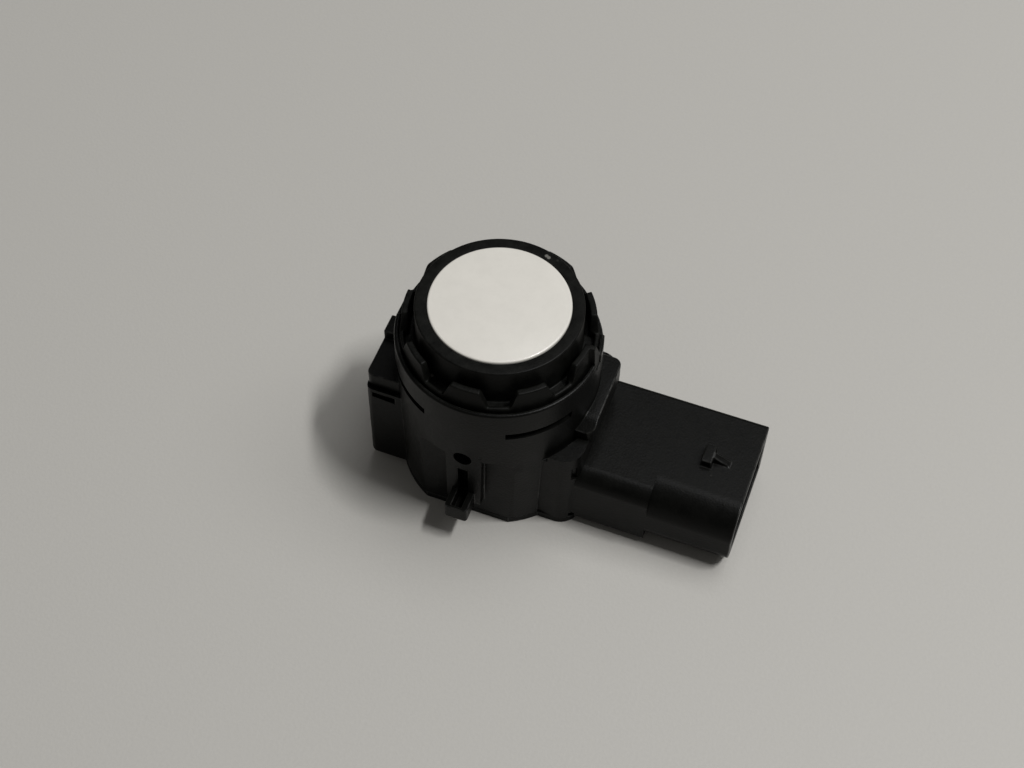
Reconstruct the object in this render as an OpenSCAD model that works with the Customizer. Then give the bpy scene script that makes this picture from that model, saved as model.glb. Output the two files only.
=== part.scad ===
// Ultrasonic parking sensor with a painted membrane face, a soft decoupling ring,
// a moulded housing with a three-way plug at its side, and its electronics inside.
// Frame: millimetres, +Z from the rear cover towards the membrane face, +X along the plug,
// with the origin on the sensor axis at the rear cover's underside.

/* [Membrane cup] */
// Diameter of the membrane cup and its painted face
cup_d = 15.6; // [14.8:0.1:16]
// Height of the membrane cup
cup_h = 9.9; // [9:0.1:11]
// Wall of the membrane cup
cup_wall = 1.2; // [0.9:0.1:1.5]
// Thickness of the membrane behind the face
membrane_t = 0.8; // [0.5:0.1:1.1]
// Chamfer at the edge of the face
face_chamfer = 0.25; // [0.1:0.05:0.4]

/* [Decoupling ring] */
// Width of the ring's flat top around the face
ring_w = 1.4; // [1.2:0.05:1.5]
// Depth of the ring's top below the face
ring_drop = 0.2; // [0.1:0.05:0.6]
// Thickness of the ring's lip under the cup
lip_t = 1.2; // [0.8:0.1:1.6]
// Width of the lip under the cup
lip_w = 2.2; // [1.8:0.1:2.6]
// Wall of the sleeve around the cup
sleeve_w = 1.75; // [1.65:0.05:1.85]
// Depth of the flange's seat below the housing's rim
flange_depth = 1.9; // [1.5:0.1:2.4]
// Depth of the groove inside the lobes, below the housing's rim
groove_depth = 0.4; // [0.2:0.1:0.8]
// Height of the flange's edge above the housing's rim
flange_proud = 0.5; // [0.3:0.1:0.8]
// Width of the flange's edge
flange_edge_w = 0.45; // [0.3:0.05:0.6]
// Number of lobes on the flange
lobe_count = 9; // [6:1:10]
// Height of the lobes above the flange's edge
lobe_h = 2.1; // [1:0.1:2.6]
// Radial width of a lobe's top
lobe_w = 0.75; // [0.6:0.05:0.9]
// Set-back of a lobe's top from the flange's edge
lobe_lean = 0.25; // [0.1:0.05:0.4]
// Length of a lobe's top
lobe_top_len = 3.2; // [2.4:0.1:4]
// Length of a lobe at the flange's edge
lobe_base_len = 5.3; // [4.2:0.1:5.8]

/* [Body] */
// Diameter of the body at the rear cover
base_d = 22.4; // [21.8:0.1:23]
// Diameter of the straight collar
collar_d = 23; // [22.8:0.1:24]
// Height of the housing's rim
body_h = 22.4; // [21.6:0.1:23.2]
// Length of the straight collar
collar_h = 4.4; // [3.8:0.1:5.2]
// Width of the rim around the flange
rim_w = 0.5; // [0.4:0.05:0.6]
// Height of the rim left above the flange's seat in its two gaps
rim_gap_rest = 0.2; // [0.1:0.05:0.6]
// Angle from the plug's axis to the rim's gap on the plug's side
rim_gap_from = 18; // [14:1:24]
// Angle that the gap on the plug's side covers
rim_gap_arc = 48; // [30:1:52]
// Angle from the ear's axis to the far end of the rim's gap on the ear's side
ear_gap_from = 27; // [20:1:30]
// Angle that the gap on the ear's side covers
ear_gap_arc = 36; // [24:1:40]
// Height of the shelf that carries the decoupling ring
shelf_z = 16; // [15.4:0.1:16.6]
// Thickness of the shelf
shelf_t = 2.4; // [1.6:0.1:3]
// Wall around the electronics
wall = 1.3; // [1:0.1:1.5]
// Height of the slits in the collar
slit_h = 0.95; // [0.3:0.05:1.2]
// Depth of the slits
slit_depth = 0.9; // [0.5:0.1:1.2]
// Distance of the slits below the rim
slit_drop = 3.9; // [2.8:0.1:4]
// Angle from the plug's axis to the near end of a slit
slit_from = 26; // [20:1:34]
// Angle that a slit covers
slit_arc = 40; // [28:1:44]
// Width of the key notch in the rim on the plug's side
key_w = 1.6; // [1.2:0.1:2.4]
// Depth of the key notch
key_depth = 1.4; // [0.8:0.1:1.6]

/* [Side panels and hooks] */
// Distance across the two flat side panels
panel_across = 20; // [19.6:0.1:20.8]
// Height of the panels above the rear cover
panel_h = 12.1; // [10.5:0.1:12.8]
// Width across a pair of panels and the rib between them
panel_w = 11; // [9.6:0.1:12]
// Corner radius at the top of the panels
panel_r = 1.5; // [0.8:0.1:2.2]
// Width of the rib between the panels
rib_w = 4.1; // [3.4:0.1:4.8]
// Diameter of the round pocket in the rib
pocket_d = 2.1; // [1.6:0.1:2.6]
// Height of the pocket's centre
pocket_z = 12.9; // [12.4:0.1:13.6]
// Width of the slot in the rib
slot_w = 1.2; // [0.8:0.1:1.6]
// Height of the slot's top end
slot_top = 10.5; // [9:0.1:10.9]
// Width of the hook at the foot of the rib
hook_w = 2.7; // [2.2:0.1:3.4]
// Thickness of the hook
hook_t = 2.2; // [1.6:0.1:2.6]
// Height of the hook's underside
hook_z = 3.8; // [2:0.1:5]
// Reach of the hooks from the sensor's axis
hook_reach = 13.8; // [12.8:0.1:14.6]
// Thickness of the lip between the slot and the hook's tip
hook_lip = 0.4; // [0.3:0.05:1.2]
// Thickness of the hook below the slot
hook_floor = 0.6; // [0.4:0.1:1.2]

/* [Ear] */
// Reach of the ear's outer face from the sensor's axis
ear_reach = 13.4; // [12.8:0.1:14.5]
// Width of the ear
ear_w = 14; // [12:0.1:15]
// Height of the ear's underside
ear_z = 1.2; // [1:0.1:3]
// Height of the ear's lower part
ear_h = 12.7; // [11:0.1:13.5]
// Set-back of the ear's upper part at each end
ear_step = 0.5; // [0.2:0.1:1.5]
// Height of the ear's upper part
ear_top_h = 2.1; // [1.2:0.1:2.6]
// Width of the raised tab on the ear
ear_tab_w = 2.5; // [1.6:0.1:4]
// Height of the raised tab
ear_tab_h = 1.3; // [0.6:0.1:1.6]
// Corner radius of the ear
ear_r = 0.8; // [0.4:0.1:1.2]
// Height of the groove in the ear's ends
ear_groove_h = 0.85; // [0.3:0.05:1]

/* [Plug block] */
// Width of the block at the plug's root
block_w = 15.9; // [15.2:0.1:17]
// Reach of the block from the sensor's axis
block_reach = 12.3; // [11.8:0.1:13]
// Height of the block's top
block_top = 13; // [12.6:0.1:14.4]
// Corner radius of the block
block_r = 2.4; // [1:0.1:2.6]
// Width of the seam between the collar's outline and the block's top
block_seam_w = 0.3; // [0.1:0.05:0.5]
// Depth of that seam
block_seam_depth = 0.8; // [0.4:0.1:1]
// Width of the lug on the block
lug_w = 10.3; // [9:0.1:12]
// Height of the lug above the block
lug_h = 2.4; // [2:0.1:3.2]
// Reach of the lug past the block
lug_proud = 0.45; // [0.1:0.05:0.8]
// Corner radius of the lug
lug_r = 1; // [0.6:0.1:1.6]
// Offset of the lug's middle from the sensor's axis
lug_y = 0.85; // [0:0.05:1]
// Length of the slope at the lug's end on the plug's round side
lug_slope_len = 2.1; // [1:0.1:3]
// Drop of that slope
lug_slope_drop = 1; // [0.4:0.1:1.6]

/* [Plug] */
// Reach of the plug's mouth from the sensor's axis
plug_reach = 30.35; // [29:0.05:34]
// Width of the plug shroud
plug_w = 14.5; // [13.4:0.1:15]
// Offset of the plug's middle from the sensor's axis
plug_y = 0.15; // [0:0.05:0.6]
// Height of the plug's underside
plug_z = 0.9; // [0.9:0.1:1.6]
// Height of the plug's top
plug_top = 9.5; // [9.2:0.1:10.4]
// Corner radius along the top of the plug's round side
plug_r_top = 3.6; // [2.4:0.1:3.8]
// Corner radius along the underside of the plug's round side
plug_r_low = 2.6; // [1.4:0.1:3]
// Corner radius along the plug's square side, which keys it
plug_r_key = 0.6; // [0.4:0.1:1]
// Wall of the plug shroud
plug_wall = 1.2; // [0.9:0.1:1.25]
// Depth of the plug's socket
socket_depth = 13; // [11:0.1:14]
// Length of the fuller section at the plug's root
web_len = 8.1; // [5:0.1:9]
// Corner radius along the top of the fuller section
web_r_top = 2; // [1.2:0.1:2.4]
// Corner radius along the underside of the fuller section
web_r_low = 0.4; // [0.3:0.1:1]
// Radius of the relief notches at the plug's root
relief_r = 0.4; // [0.25:0.05:0.5]
// Length of the latch ramp with its head
ramp_len = 3.2; // [2.4:0.1:4]
// Width of the latch ramp's head
ramp_w = 2.5; // [2:0.1:4]
// Length of the head
ramp_head_len = 1.2; // [0.8:0.1:1.6]
// Width of the sloped rib in front of the head
ramp_rib_w = 0.8; // [0.6:0.1:1.4]
// Height of the latch ramp
ramp_h = 1.1; // [0.5:0.1:1.4]
// Distance from the plug's mouth to the latch ramp
ramp_inset = 2.7; // [1:0.1:4]
// Offset of the latch ramp from the plug's middle
ramp_off = 0.45; // [0:0.05:0.8]
// Width of the keying ribs in the socket
guide_w = 0.8; // [0.5:0.1:1.2]
// Height of the keying ribs
guide_h = 0.9; // [0.5:0.1:1.2]
// Distance between the two keying ribs
guide_span = 7.6; // [6.6:0.1:8.2]

/* [Terminals] */
// Number of terminal pins
terminal_count = 3; // [3:1:3]
// Distance from one terminal pin to the next
terminal_pitch = 2.54; // [2.2:0.02:2.8]
// Width of a square terminal pin
terminal_w = 0.64; // [0.5:0.02:0.8]
// Depth of the pin tips inside the plug's mouth
terminal_recess = 4.9; // [4.6:0.1:7]
// Distance of the pins' bend from the electronics' end wall
terminal_inset = 1.7; // [1.4:0.1:2.2]

/* [Rear cover] */
// Thickness of the rear cover
cover_t = 0.9; // [0.7:0.05:0.9]
// Height of the cover's inner rim
cover_rim_h = 1.4; // [1.2:0.1:2]
// Wall of the cover's inner rim
cover_rim_w = 1.1; // [0.8:0.1:1.4]
// Depth of the code field and the ejector marks
mark_depth = 0.15; // [0.1:0.05:0.25]
// Diameter of an ejector mark
mark_d = 1.6; // [1:0.1:2]

/* [Electronics] */
// Thickness of the circuit board
board_t = 1; // [0.8:0.1:1.6]
// Diameter of the piezo disc
piezo_d = 8; // [7.4:0.1:9]
// Thickness of the piezo disc
piezo_t = 0.5; // [0.3:0.05:0.8]
// Thickness of the contact carrier in the cup
carrier_t = 2; // [1.4:0.1:2.6]
// Diameter of the two contact pins
contact_d = 0.7; // [0.5:0.05:0.9]
// Distance between the two contact pins
contact_span = 6.4; // [6:0.1:6.8]
// Diameter of the two lead wires
lead_d = 0.4; // [0.3:0.05:0.5]
// Width of the transformer's base
transformer_w = 6.2; // [5.6:0.1:6.4]
// Height of the transformer's drum core
core_h = 4.2; // [3.4:0.1:5]

/* [Fits] */
// Clearance of covers, boards and plugs in their seats
fit = 0.1; // [0.05:0.01:0.2]
// Clearance of the soft ring around the cup and in the housing
soft_fit = 0.05; // [0.02:0.01:0.1]
// Clearance between the flange and the rim
flange_fit = 0.15; // [0.1:0.01:0.2]
// Clearance around the terminal pins in the housing
mould_fit = 0.03; // [0.01:0.01:0.05]

/* [Hidden] */
$fn = 96;
// Overlap of a cut or a joined piece past the face that it meets
eps = 0.5;

cup_r = cup_d / 2;
cup_bore_r = cup_r - cup_wall;
collar_r = collar_d / 2;
base_r = base_d / 2;
panel_y = panel_across / 2;

cup_z = shelf_z + lip_t;
face_z = cup_z + cup_h;
ring_top = face_z - ring_drop;
ring_top_r = cup_r + ring_w;
sleeve_r = cup_r + soft_fit + sleeve_w;
lip_r = cup_r - lip_w;
rim_bore_r = collar_r - rim_w;
flange_r = rim_bore_r - flange_fit;
flange_z = body_h - flange_depth;
groove_z = body_h - groove_depth;
flange_top = body_h + flange_proud;
lobe_top = flange_top + lobe_h;
lobe_outer_r = flange_r - lobe_lean;
lobe_inner_r = lobe_outer_r - lobe_w;
// One lobe sits on the side of the rib and the pocket
lobe_from = -90;
lobe_turn = 360 / lobe_count;
// Turn of the revolved forms that puts their seam between two lobes
seam_turn = lobe_from + lobe_turn / 2;

slit_z = body_h - slit_drop;
rim_chamfer = rim_w / 3;
cavity_r = panel_y - wall;
cavity_top = shelf_z - shelf_t;
cavity_reach = block_reach - wall;
// Set-back of the electronics' end from the block's sides, past the wall
cavity_margin = 0.65;
cavity_w = block_w - 2 * (wall + cavity_margin);
// Set-back of the shelf's opening from the ring's lip
shelf_margin = 0.2;
shelf_bore_r = lip_r - shelf_margin;
rim_gap_z = flange_z + rim_gap_rest;

block_w_half = block_w / 2;
lug_reach = block_reach + lug_proud;
lug_top = block_top + lug_h;
lug_near = lug_y - lug_w / 2;
lug_far = lug_y + lug_w / 2;
ear_mid = ear_z + ear_h;
ear_top = ear_mid + ear_top_h;
// Depth of the ear's root inside the body
ear_root = 3.4;
ear_inner = base_r - ear_root;
// Distance of the groove below the top of the ear's lower part
ear_groove_drop = 1.5;
ear_groove_z = ear_mid - ear_groove_drop;
// Heights of the relief notches at the plug's top and at the rear cover
relief_upper_h = 2.2;
relief_lower_h = 0.8;
// Set-back of the notches from the block's face, and how far the upper one reaches below the plug's top
relief_back = 0.6;
relief_drop = 0.5;
plug_half = plug_w / 2;
ramp_head_x = plug_reach - ramp_inset - ramp_len;
ramp_y = plug_y + ramp_off;

socket_floor = plug_reach - socket_depth;
terminal_z = (plug_z + plug_top) / 2;
terminal_tip = plug_reach - terminal_recess;
terminal_bend = cavity_reach - terminal_inset;
// Width of a terminal pin's chamfered tip
tip_w = terminal_w * 0.4;

board_z = cover_t + cover_rim_h;
board_top = board_z + board_t;
pin_tail = cover_rim_h / 2;
carrier_top = cup_z + carrier_t;
piezo_z = face_z - membrane_t - piezo_t;
carrier_r = cup_bore_r - fit;
// Wall of the bosses around the contact pins
boss_wall = 0.7;
boss_d = contact_d + 2 * boss_wall;
// Clearance around a lead wire in the foam
lead_gap = 0.2;

transformer_base_t = 0.9;
transformer_r = 0.6;
transformer_x = -4.7;
core_z = board_top + transformer_base_t;
// Set-back of the drum's edge from the base, and of the winding from the drum's edge
core_margin = 0.3;
core_d = transformer_w - 2 * core_margin;
core_flange_t = 0.7;
core_post_r = 1.2;
winding_d = core_d - 2 * core_margin;

// Surface-mounted parts on the board: length, width, height
chip_size = [4.8, 4.8, 0.9];
storage_capacitor_size = [3.6, 2.6, 2];
filter_capacitor_size = [3.2, 1.6, 1.3];
diode_size = [2.7, 1.5, 1.1];
resistor_size = [3, 1.5, 0.6];
crystal_size = [2.5, 2, 0.8];

// Centres of the surface-mounted parts in plan
chip_at = [3.6, 0];
storage_capacitor_at = [3.2, 5.1];
filter_capacitor_1_at = [3.2, -4.7];
filter_capacitor_2_at = [7.2, 4.8];
diode_at = [-0.6, -6.3];
resistor_at = [-0.6, 6.3];
crystal_at = [7.4, -4.8];

HOUSING_BLACK = "#1c1c1d";
COVER_BLACK = "#232324";
SILICONE_BLACK = "#161617";
FACE_WHITE = "#dcdad4";
TIN = "#c8c8c4";
BRASS = "#b89b5e";
BOARD_GREEN = "#2c5a3c";
FERRITE = "#3a3a3c";
COPPER = "#b4683a";
CERAMIC = "#c9b48c";
CHIP_BLACK = "#202022";
FOAM_GREY = "#8c8c8a";

// Rectangle from one corner to the other with round corners
module round_rect(from, to, r) {
    translate([from.x + r, from.y]) square([to.x - from.x - 2 * r, to.y - from.y]);
    translate([from.x, from.y + r]) square([to.x - from.x, to.y - from.y - 2 * r]);
    for (x = [from.x + r, to.x - r], y = [from.y + r, to.y - r])
        translate([x, y]) circle(r = r);
}

// Runs an outline drawn across the plug along X
module along_x(from, to) {
    translate([from, 0, 0]) rotate([90, 0, 90]) linear_extrude(to - from) children();
}

// Runs an outline drawn in the plug's vertical plane along Y, centred
module along_y(width) {
    translate([0, width / 2, 0]) rotate([90, 0, 0]) linear_extrude(width) children();
}

// Runs a plan outline from one height to another
module along_z(from, to) {
    translate([0, 0, from]) linear_extrude(to - from) children();
}

// Places the children at both ends of the Y axis
module both_sides() {
    children();
    mirror([0, 1, 0]) children();
}

// Body and block as the rear cover closes them, with the flat side panels
module base_outline() {
    difference() {
        circle(r = base_r);
        for (side = [-1, 1])
            translate([0, side * (panel_y + base_r / 2)]) square([panel_w, base_r], center = true);
    }
    round_rect([0, -block_w_half], [block_reach, block_w_half], block_r);
}

// Space for the electronics, smaller by the inset
module cavity_outline(inset) {
    circle(r = cavity_r - inset);
    translate([0, inset - cavity_w / 2]) square([cavity_reach - inset, cavity_w - 2 * inset]);
}

// Cross-section of the plug between two corners, round on one side and square on the other
module plug_section(from, to, r_top, r_low, r_key) {
    w = to.x - from.x - r_key;
    h = to.y - from.y;
    translate(from) {
        translate([0, r_low]) square([w, h - r_top - r_low]);
        translate([r_top, r_low]) square([w - r_top, h - r_low]);
        translate([r_low, 0]) square([w - r_low, h - r_top]);
        translate([w - r_key, r_key]) square([2 * r_key, h - 2 * r_key]);
        translate([r_top, h - r_top]) circle(r = r_top);
        translate([r_low, r_low]) circle(r = r_low);
        for (z = [r_key, h - r_key]) translate([w, z]) circle(r = r_key);
    }
}

// Drafted body below the straight collar, with its rim chamfered
module body_form() {
    rotate_extrude()
        polygon([
            [0, cover_t], [base_r, cover_t], [collar_r, body_h - collar_h],
            [collar_r, body_h - rim_chamfer], [collar_r - rim_chamfer, body_h], [0, body_h]
        ]);
}

// Ear opposite the plug, with a stepped upper part and a raised tab
module ear_form() {
    intersection() {
        along_z(ear_z, ear_mid)
            round_rect([-ear_reach, -ear_w / 2], [-ear_inner, ear_w / 2], ear_r);
        along_y(ear_w)
            round_rect([-ear_reach, ear_z], [0, body_h], ear_r);
    }
    along_z(ear_mid - eps, ear_top)
        round_rect([-ear_reach, ear_step - ear_w / 2], [-ear_inner, ear_w / 2 - ear_step], ear_r);
    along_z(ear_top - eps, ear_top + ear_tab_h)
        translate([-ear_reach, -ear_tab_w / 2]) square([ear_reach - ear_inner, ear_tab_w]);
}

// Block and lug at the plug's root, with a seam between the body and the block's top
module block_form() {
    difference() {
        along_z(cover_t, block_top)
            round_rect([0, -block_w_half], [block_reach, block_w_half], block_r);
        along_z(block_top - block_seam_depth, block_top + eps)
            difference() {
                circle(r = collar_r + block_seam_w);
                translate([0, lug_near]) square([block_reach, lug_w]);
            }
    }
    intersection() {
        along_z(block_top - eps, lug_top)
            round_rect([0, lug_near], [lug_reach, lug_far], lug_r);
        along_x(0, lug_reach + eps)
            polygon([
                [lug_near, block_top - eps], [lug_far + eps, block_top - eps], [lug_far + eps, lug_top],
                [lug_near + lug_slope_len, lug_top], [lug_near, lug_top - lug_slope_drop]
            ]);
    }
}

// Shroud of the plug, its fuller section at the root, and the latch ramp with its wider head
module plug_form() {
    near = [plug_y - plug_half, plug_z];
    far = [plug_y + plug_half, plug_top];
    along_x(block_reach - block_r, plug_reach) plug_section(near, far, plug_r_top, plug_r_low, plug_r_key);
    along_x(block_reach - block_r, block_reach + web_len)
        plug_section(near, far, web_r_top, web_r_low, plug_r_key);
    translate([ramp_head_x, ramp_y - ramp_w / 2, plug_top - eps])
        cube([ramp_head_len, ramp_w, ramp_h + eps]);
    translate([0, ramp_y, 0])
        along_y(ramp_rib_w)
            polygon([
                [ramp_head_x, plug_top - eps], [ramp_head_x, plug_top + ramp_h],
                [ramp_head_x + ramp_head_len, plug_top + ramp_h], [ramp_head_x + ramp_len, plug_top],
                [ramp_head_x + ramp_len, plug_top - eps]
            ]);
}

// Hook at the foot of a rib
module hook_form() {
    along_z(hook_z, hook_z + hook_t)
        round_rect([-hook_w / 2, -hook_reach], [hook_w / 2, -cavity_r - wall / 2], ear_r / 2);
}

// Flat panels beside a rib and below its hook, with round top corners
module panel_cut() {
    translate([0, -panel_y - collar_r / 2, 0])
        along_y(collar_r)
            difference() {
                round_rect([-panel_w / 2, -panel_r], [panel_w / 2, cover_t + panel_h], panel_r);
                translate([-rib_w / 2, hook_z]) square([rib_w, body_h]);
            }
}

// Round pocket and slot in a rib, the slot running on over the hook
module rib_cut() {
    translate([0, -panel_y, pocket_z]) rotate([90, 0, 0]) cylinder(d = pocket_d, h = base_r);
    translate([-slot_w / 2, hook_lip - hook_reach, hook_z + hook_floor])
        cube([slot_w, hook_reach - hook_lip - panel_y, slot_top - hook_z - hook_floor]);
}

// Curved slits at the four corners of the collar
module slit_cut() {
    for (end = [0, 1], side = [0, 1])
        mirror([end, 0, 0]) mirror([0, side, 0]) rotate([0, 0, slit_from])
            rotate_extrude(angle = slit_arc)
                translate([collar_r - slit_depth, slit_z - slit_h / 2]) square([slit_depth + eps, slit_h]);
}

// Two gaps in the rim, beside the plug and at the ear, that lay the flange open
module rim_gap_cut() {
    for (gap = [[rim_gap_from, rim_gap_arc], [180 - ear_gap_from, ear_gap_arc]])
        rotate(gap[0]) rotate_extrude(angle = gap[1])
            translate([rim_bore_r - eps, rim_gap_z]) square([rim_w + 2 * eps, body_h + eps - rim_gap_z]);
}

// Socket of the plug, with its two keying ribs left standing
module socket_cut() {
    difference() {
        along_x(socket_floor, plug_reach + eps)
            plug_section([plug_y - plug_half + plug_wall, plug_z + plug_wall],
                         [plug_y + plug_half - plug_wall, plug_top - plug_wall],
                         plug_r_top - plug_wall, plug_r_low - plug_wall, plug_r_key / 2);
        for (side = [-1, 1])
            translate([socket_floor - eps, plug_y + side * guide_span / 2 - guide_w / 2, plug_z])
                cube([socket_depth - ramp_inset, guide_w, plug_wall + guide_h]);
    }
}

// Thin grooves in the two ends of the ear
module ear_groove_cut() {
    translate([ear_r - ear_reach, -ear_w / 2 - eps, ear_groove_z])
        cube([ear_reach - collar_r + ear_r, 2 * eps, ear_groove_h]);
}

// Relief notches at the root of the plug's round side, at its top and at the rear cover
module relief_cut() {
    for (span = [[plug_top - relief_drop, relief_upper_h], [cover_t - eps, relief_lower_h + eps]])
        translate([block_reach - relief_back, plug_y - plug_half, span[0]])
            cylinder(r = relief_r, h = span[1]);
}

// Seats for the ring, the electronics, the key and the terminal pins
module inner_cuts() {
    along_z(flange_z, body_h + eps) circle(r = rim_bore_r);
    along_z(shelf_z, body_h) circle(r = sleeve_r + soft_fit);
    along_z(cavity_top - eps, shelf_z + eps) circle(r = shelf_bore_r);
    along_z(cover_t - eps, cavity_top) circle(r = cavity_r);
    along_z(cover_t - eps, block_top - wall) cavity_outline(0);
    translate([rim_bore_r - eps, -key_w / 2, body_h - key_depth])
        cube([rim_w + 2 * eps, key_w, key_depth + eps]);
    for (i = [0 : terminal_count - 1])
        translate([cavity_reach - eps, terminal_y(i), terminal_z])
            terminal_bar(socket_floor - cavity_reach + 2 * eps, terminal_w + 2 * mould_fit);
}

// One moulding: body, collar, ear, side panels with hooks, block and plug
module housing() {
    color(HOUSING_BLACK)
        difference() {
            union() {
                difference() {
                    body_form();
                    both_sides() panel_cut();
                }
                ear_form();
                block_form();
                plug_form();
                both_sides() hook_form();
            }
            both_sides() {
                rib_cut();
                ear_groove_cut();
            }
            relief_cut();
            slit_cut();
            rim_gap_cut();
            socket_cut();
            inner_cuts();
        }
}

// Rear cover with a rim that plugs into the housing and carries the board
module rear_cover() {
    mark_ring = cavity_r - mark_d;
    color(COVER_BLACK) {
        difference() {
            along_z(0, cover_t) base_outline();
            along_z(-eps, mark_depth) {
                round_rect([mark_d * 2, -mark_ring / 2], [cavity_reach, mark_ring / 2], mark_d / 2);
                for (turn = [90 : 60 : 270])
                    rotate(turn) translate([mark_ring, 0]) circle(d = mark_d);
            }
        }
        along_z(cover_t - eps / 2, board_z)
            difference() {
                cavity_outline(fit);
                cavity_outline(fit + cover_rim_w);
            }
    }
}

// Aluminium cup whose closed end is the painted membrane
module membrane_cup() {
    color(FACE_WHITE)
        rotate_extrude()
            polygon([
                [0, face_z], [cup_r - face_chamfer, face_z], [cup_r, face_z - face_chamfer], [cup_r, cup_z],
                [cup_bore_r, cup_z], [cup_bore_r, face_z - membrane_t], [0, face_z - membrane_t]
            ]);
}

// Lobes of the flange, each narrower and set back towards its top
module lobes() {
    intersection() {
        rotate(seam_turn) rotate_extrude()
            polygon([
                [lobe_inner_r, groove_z - eps], [flange_r, groove_z - eps], [flange_r, flange_top],
                [lobe_outer_r, lobe_top], [lobe_inner_r, lobe_top]
            ]);
        for (i = [0 : lobe_count - 1])
            rotate(lobe_from + i * lobe_turn)
                along_x(lobe_inner_r - eps, flange_r + eps)
                    polygon([
                        [-lobe_base_len / 2, flange_z], [lobe_base_len / 2, flange_z],
                        [lobe_base_len / 2, flange_top], [lobe_top_len / 2, lobe_top],
                        [-lobe_top_len / 2, lobe_top], [-lobe_base_len / 2, flange_top]
                    ]);
    }
}

// Soft ring that holds the cup in the housing and keeps its sound off it
module decoupling_ring() {
    bore_r = cup_r + soft_fit;
    color(SILICONE_BLACK) {
        rotate(seam_turn) rotate_extrude()
            polygon([
                [lip_r, shelf_z], [sleeve_r, shelf_z], [sleeve_r, flange_z], [flange_r, flange_z],
                [flange_r, flange_top], [flange_r - flange_edge_w, flange_top],
                [flange_r - flange_edge_w, groove_z], [ring_top_r, groove_z],
                [ring_top_r, ring_top - face_chamfer], [ring_top_r - face_chamfer, ring_top],
                [bore_r, ring_top], [bore_r, cup_z], [lip_r, cup_z]
            ]);
        lobes();
        translate([flange_r - flange_edge_w, fit - key_w / 2, body_h - key_depth + fit])
            cube([flange_edge_w + rim_w, key_w - 2 * fit, key_depth + flange_proud - fit]);
    }
}

// Piezo disc bonded behind the membrane
module piezo_disc() {
    color(CERAMIC) along_z(piezo_z, piezo_z + piezo_t) circle(d = piezo_d);
}

// Foam that damps the cup behind the piezo disc
module damping_pad() {
    color(FOAM_GREY)
        difference() {
            along_z(carrier_top, piezo_z) circle(r = carrier_r);
            for (side = [-1, 1])
                translate([0, side * contact_span / 2, carrier_top - eps])
                    cylinder(d = lead_d + 2 * lead_gap, h = piezo_z - carrier_top + 2 * eps);
        }
}

// Plastic disc in the cup's open end that holds the contact pins
module contact_carrier() {
    color(COVER_BLACK)
        difference() {
            union() {
                along_z(cup_z, carrier_top) circle(r = carrier_r);
                for (side = [-1, 1])
                    translate([0, side * contact_span / 2, shelf_z]) cylinder(d = boss_d, h = lip_t + eps);
            }
            for (side = [-1, 1])
                translate([0, side * contact_span / 2, shelf_z - eps])
                    cylinder(d = contact_d + 2 * mould_fit, h = lip_t + carrier_t + 2 * eps);
        }
}

// Pin from the board up through the carrier
module contact_pin(side) {
    color(TIN)
        translate([0, side * contact_span / 2, board_z - pin_tail])
            cylinder(d = contact_d, h = carrier_top - board_z + pin_tail);
}

// Wire from a contact pin to the back of the piezo disc
module lead_wire(side) {
    color(COPPER)
        translate([0, side * contact_span / 2, carrier_top])
            cylinder(d = lead_d, h = piezo_z - carrier_top);
}

function terminal_y(i) = plug_y + (i - (terminal_count - 1) / 2) * terminal_pitch;

// Square bar along X, centred on its line
module terminal_bar(length, width) {
    translate([0, -width / 2, -width / 2]) cube([length, width, width]);
}

// Bent pin from the board into the plug's socket, with a chamfered tip
module terminal_pin(i) {
    w = terminal_w;
    color(BRASS)
        translate([0, terminal_y(i), 0]) {
            along_y(w)
                polygon([
                    [terminal_bend - w / 2, board_z - pin_tail], [terminal_bend + w / 2, board_z - pin_tail],
                    [terminal_bend + w / 2, terminal_z - w / 2], [terminal_tip - w, terminal_z - w / 2],
                    [terminal_tip, terminal_z - tip_w / 2], [terminal_tip, terminal_z + tip_w / 2],
                    [terminal_tip - w, terminal_z + w / 2], [terminal_bend - w / 2, terminal_z + w / 2]
                ]);
        }
}

// Circuit board on the cover's rim, drilled for the contact and terminal pins
module circuit_board() {
    color(BOARD_GREEN)
        difference() {
            along_z(board_z, board_top) cavity_outline(2 * fit);
            for (side = [-1, 1])
                translate([0, side * contact_span / 2, board_z - eps])
                    cylinder(d = contact_d + 2 * fit, h = board_t + 2 * eps);
            for (i = [0 : terminal_count - 1])
                translate([terminal_bend, terminal_y(i), board_z - eps])
                    cylinder(d = terminal_w * sqrt(2) + 2 * fit, h = board_t + 2 * eps);
        }
}

// Block-shaped part soldered on the board's upper side
module board_part(place, size, paint) {
    color(paint)
        translate([place.x - size.x / 2, place.y - size.y / 2, board_top]) cube(size);
}

module control_chip() {
    board_part(chip_at, chip_size, CHIP_BLACK);
}

// Plastic base under the transformer's core
module transformer_base() {
    color(COVER_BLACK)
        along_z(board_top, core_z)
            round_rect([transformer_x - transformer_w / 2, -transformer_w / 2],
                       [transformer_x + transformer_w / 2, transformer_w / 2], transformer_r);
}

// Ferrite drum that the transformer is wound on
module transformer_core() {
    color(FERRITE)
        translate([transformer_x, 0, core_z]) {
            cylinder(d = core_d, h = core_flange_t);
            cylinder(r = core_post_r, h = core_h);
            translate([0, 0, core_h - core_flange_t]) cylinder(d = core_d, h = core_flange_t);
        }
}

// Copper winding between the drum's flanges
module transformer_winding() {
    color(COPPER)
        translate([transformer_x, 0, core_z + core_flange_t + fit])
            difference() {
                cylinder(d = winding_d, h = core_h - 2 * (core_flange_t + fit));
                translate([0, 0, -eps]) cylinder(r = core_post_r + fit, h = core_h);
            }
}

module storage_capacitor() {
    board_part(storage_capacitor_at, storage_capacitor_size, CERAMIC);
}

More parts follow.
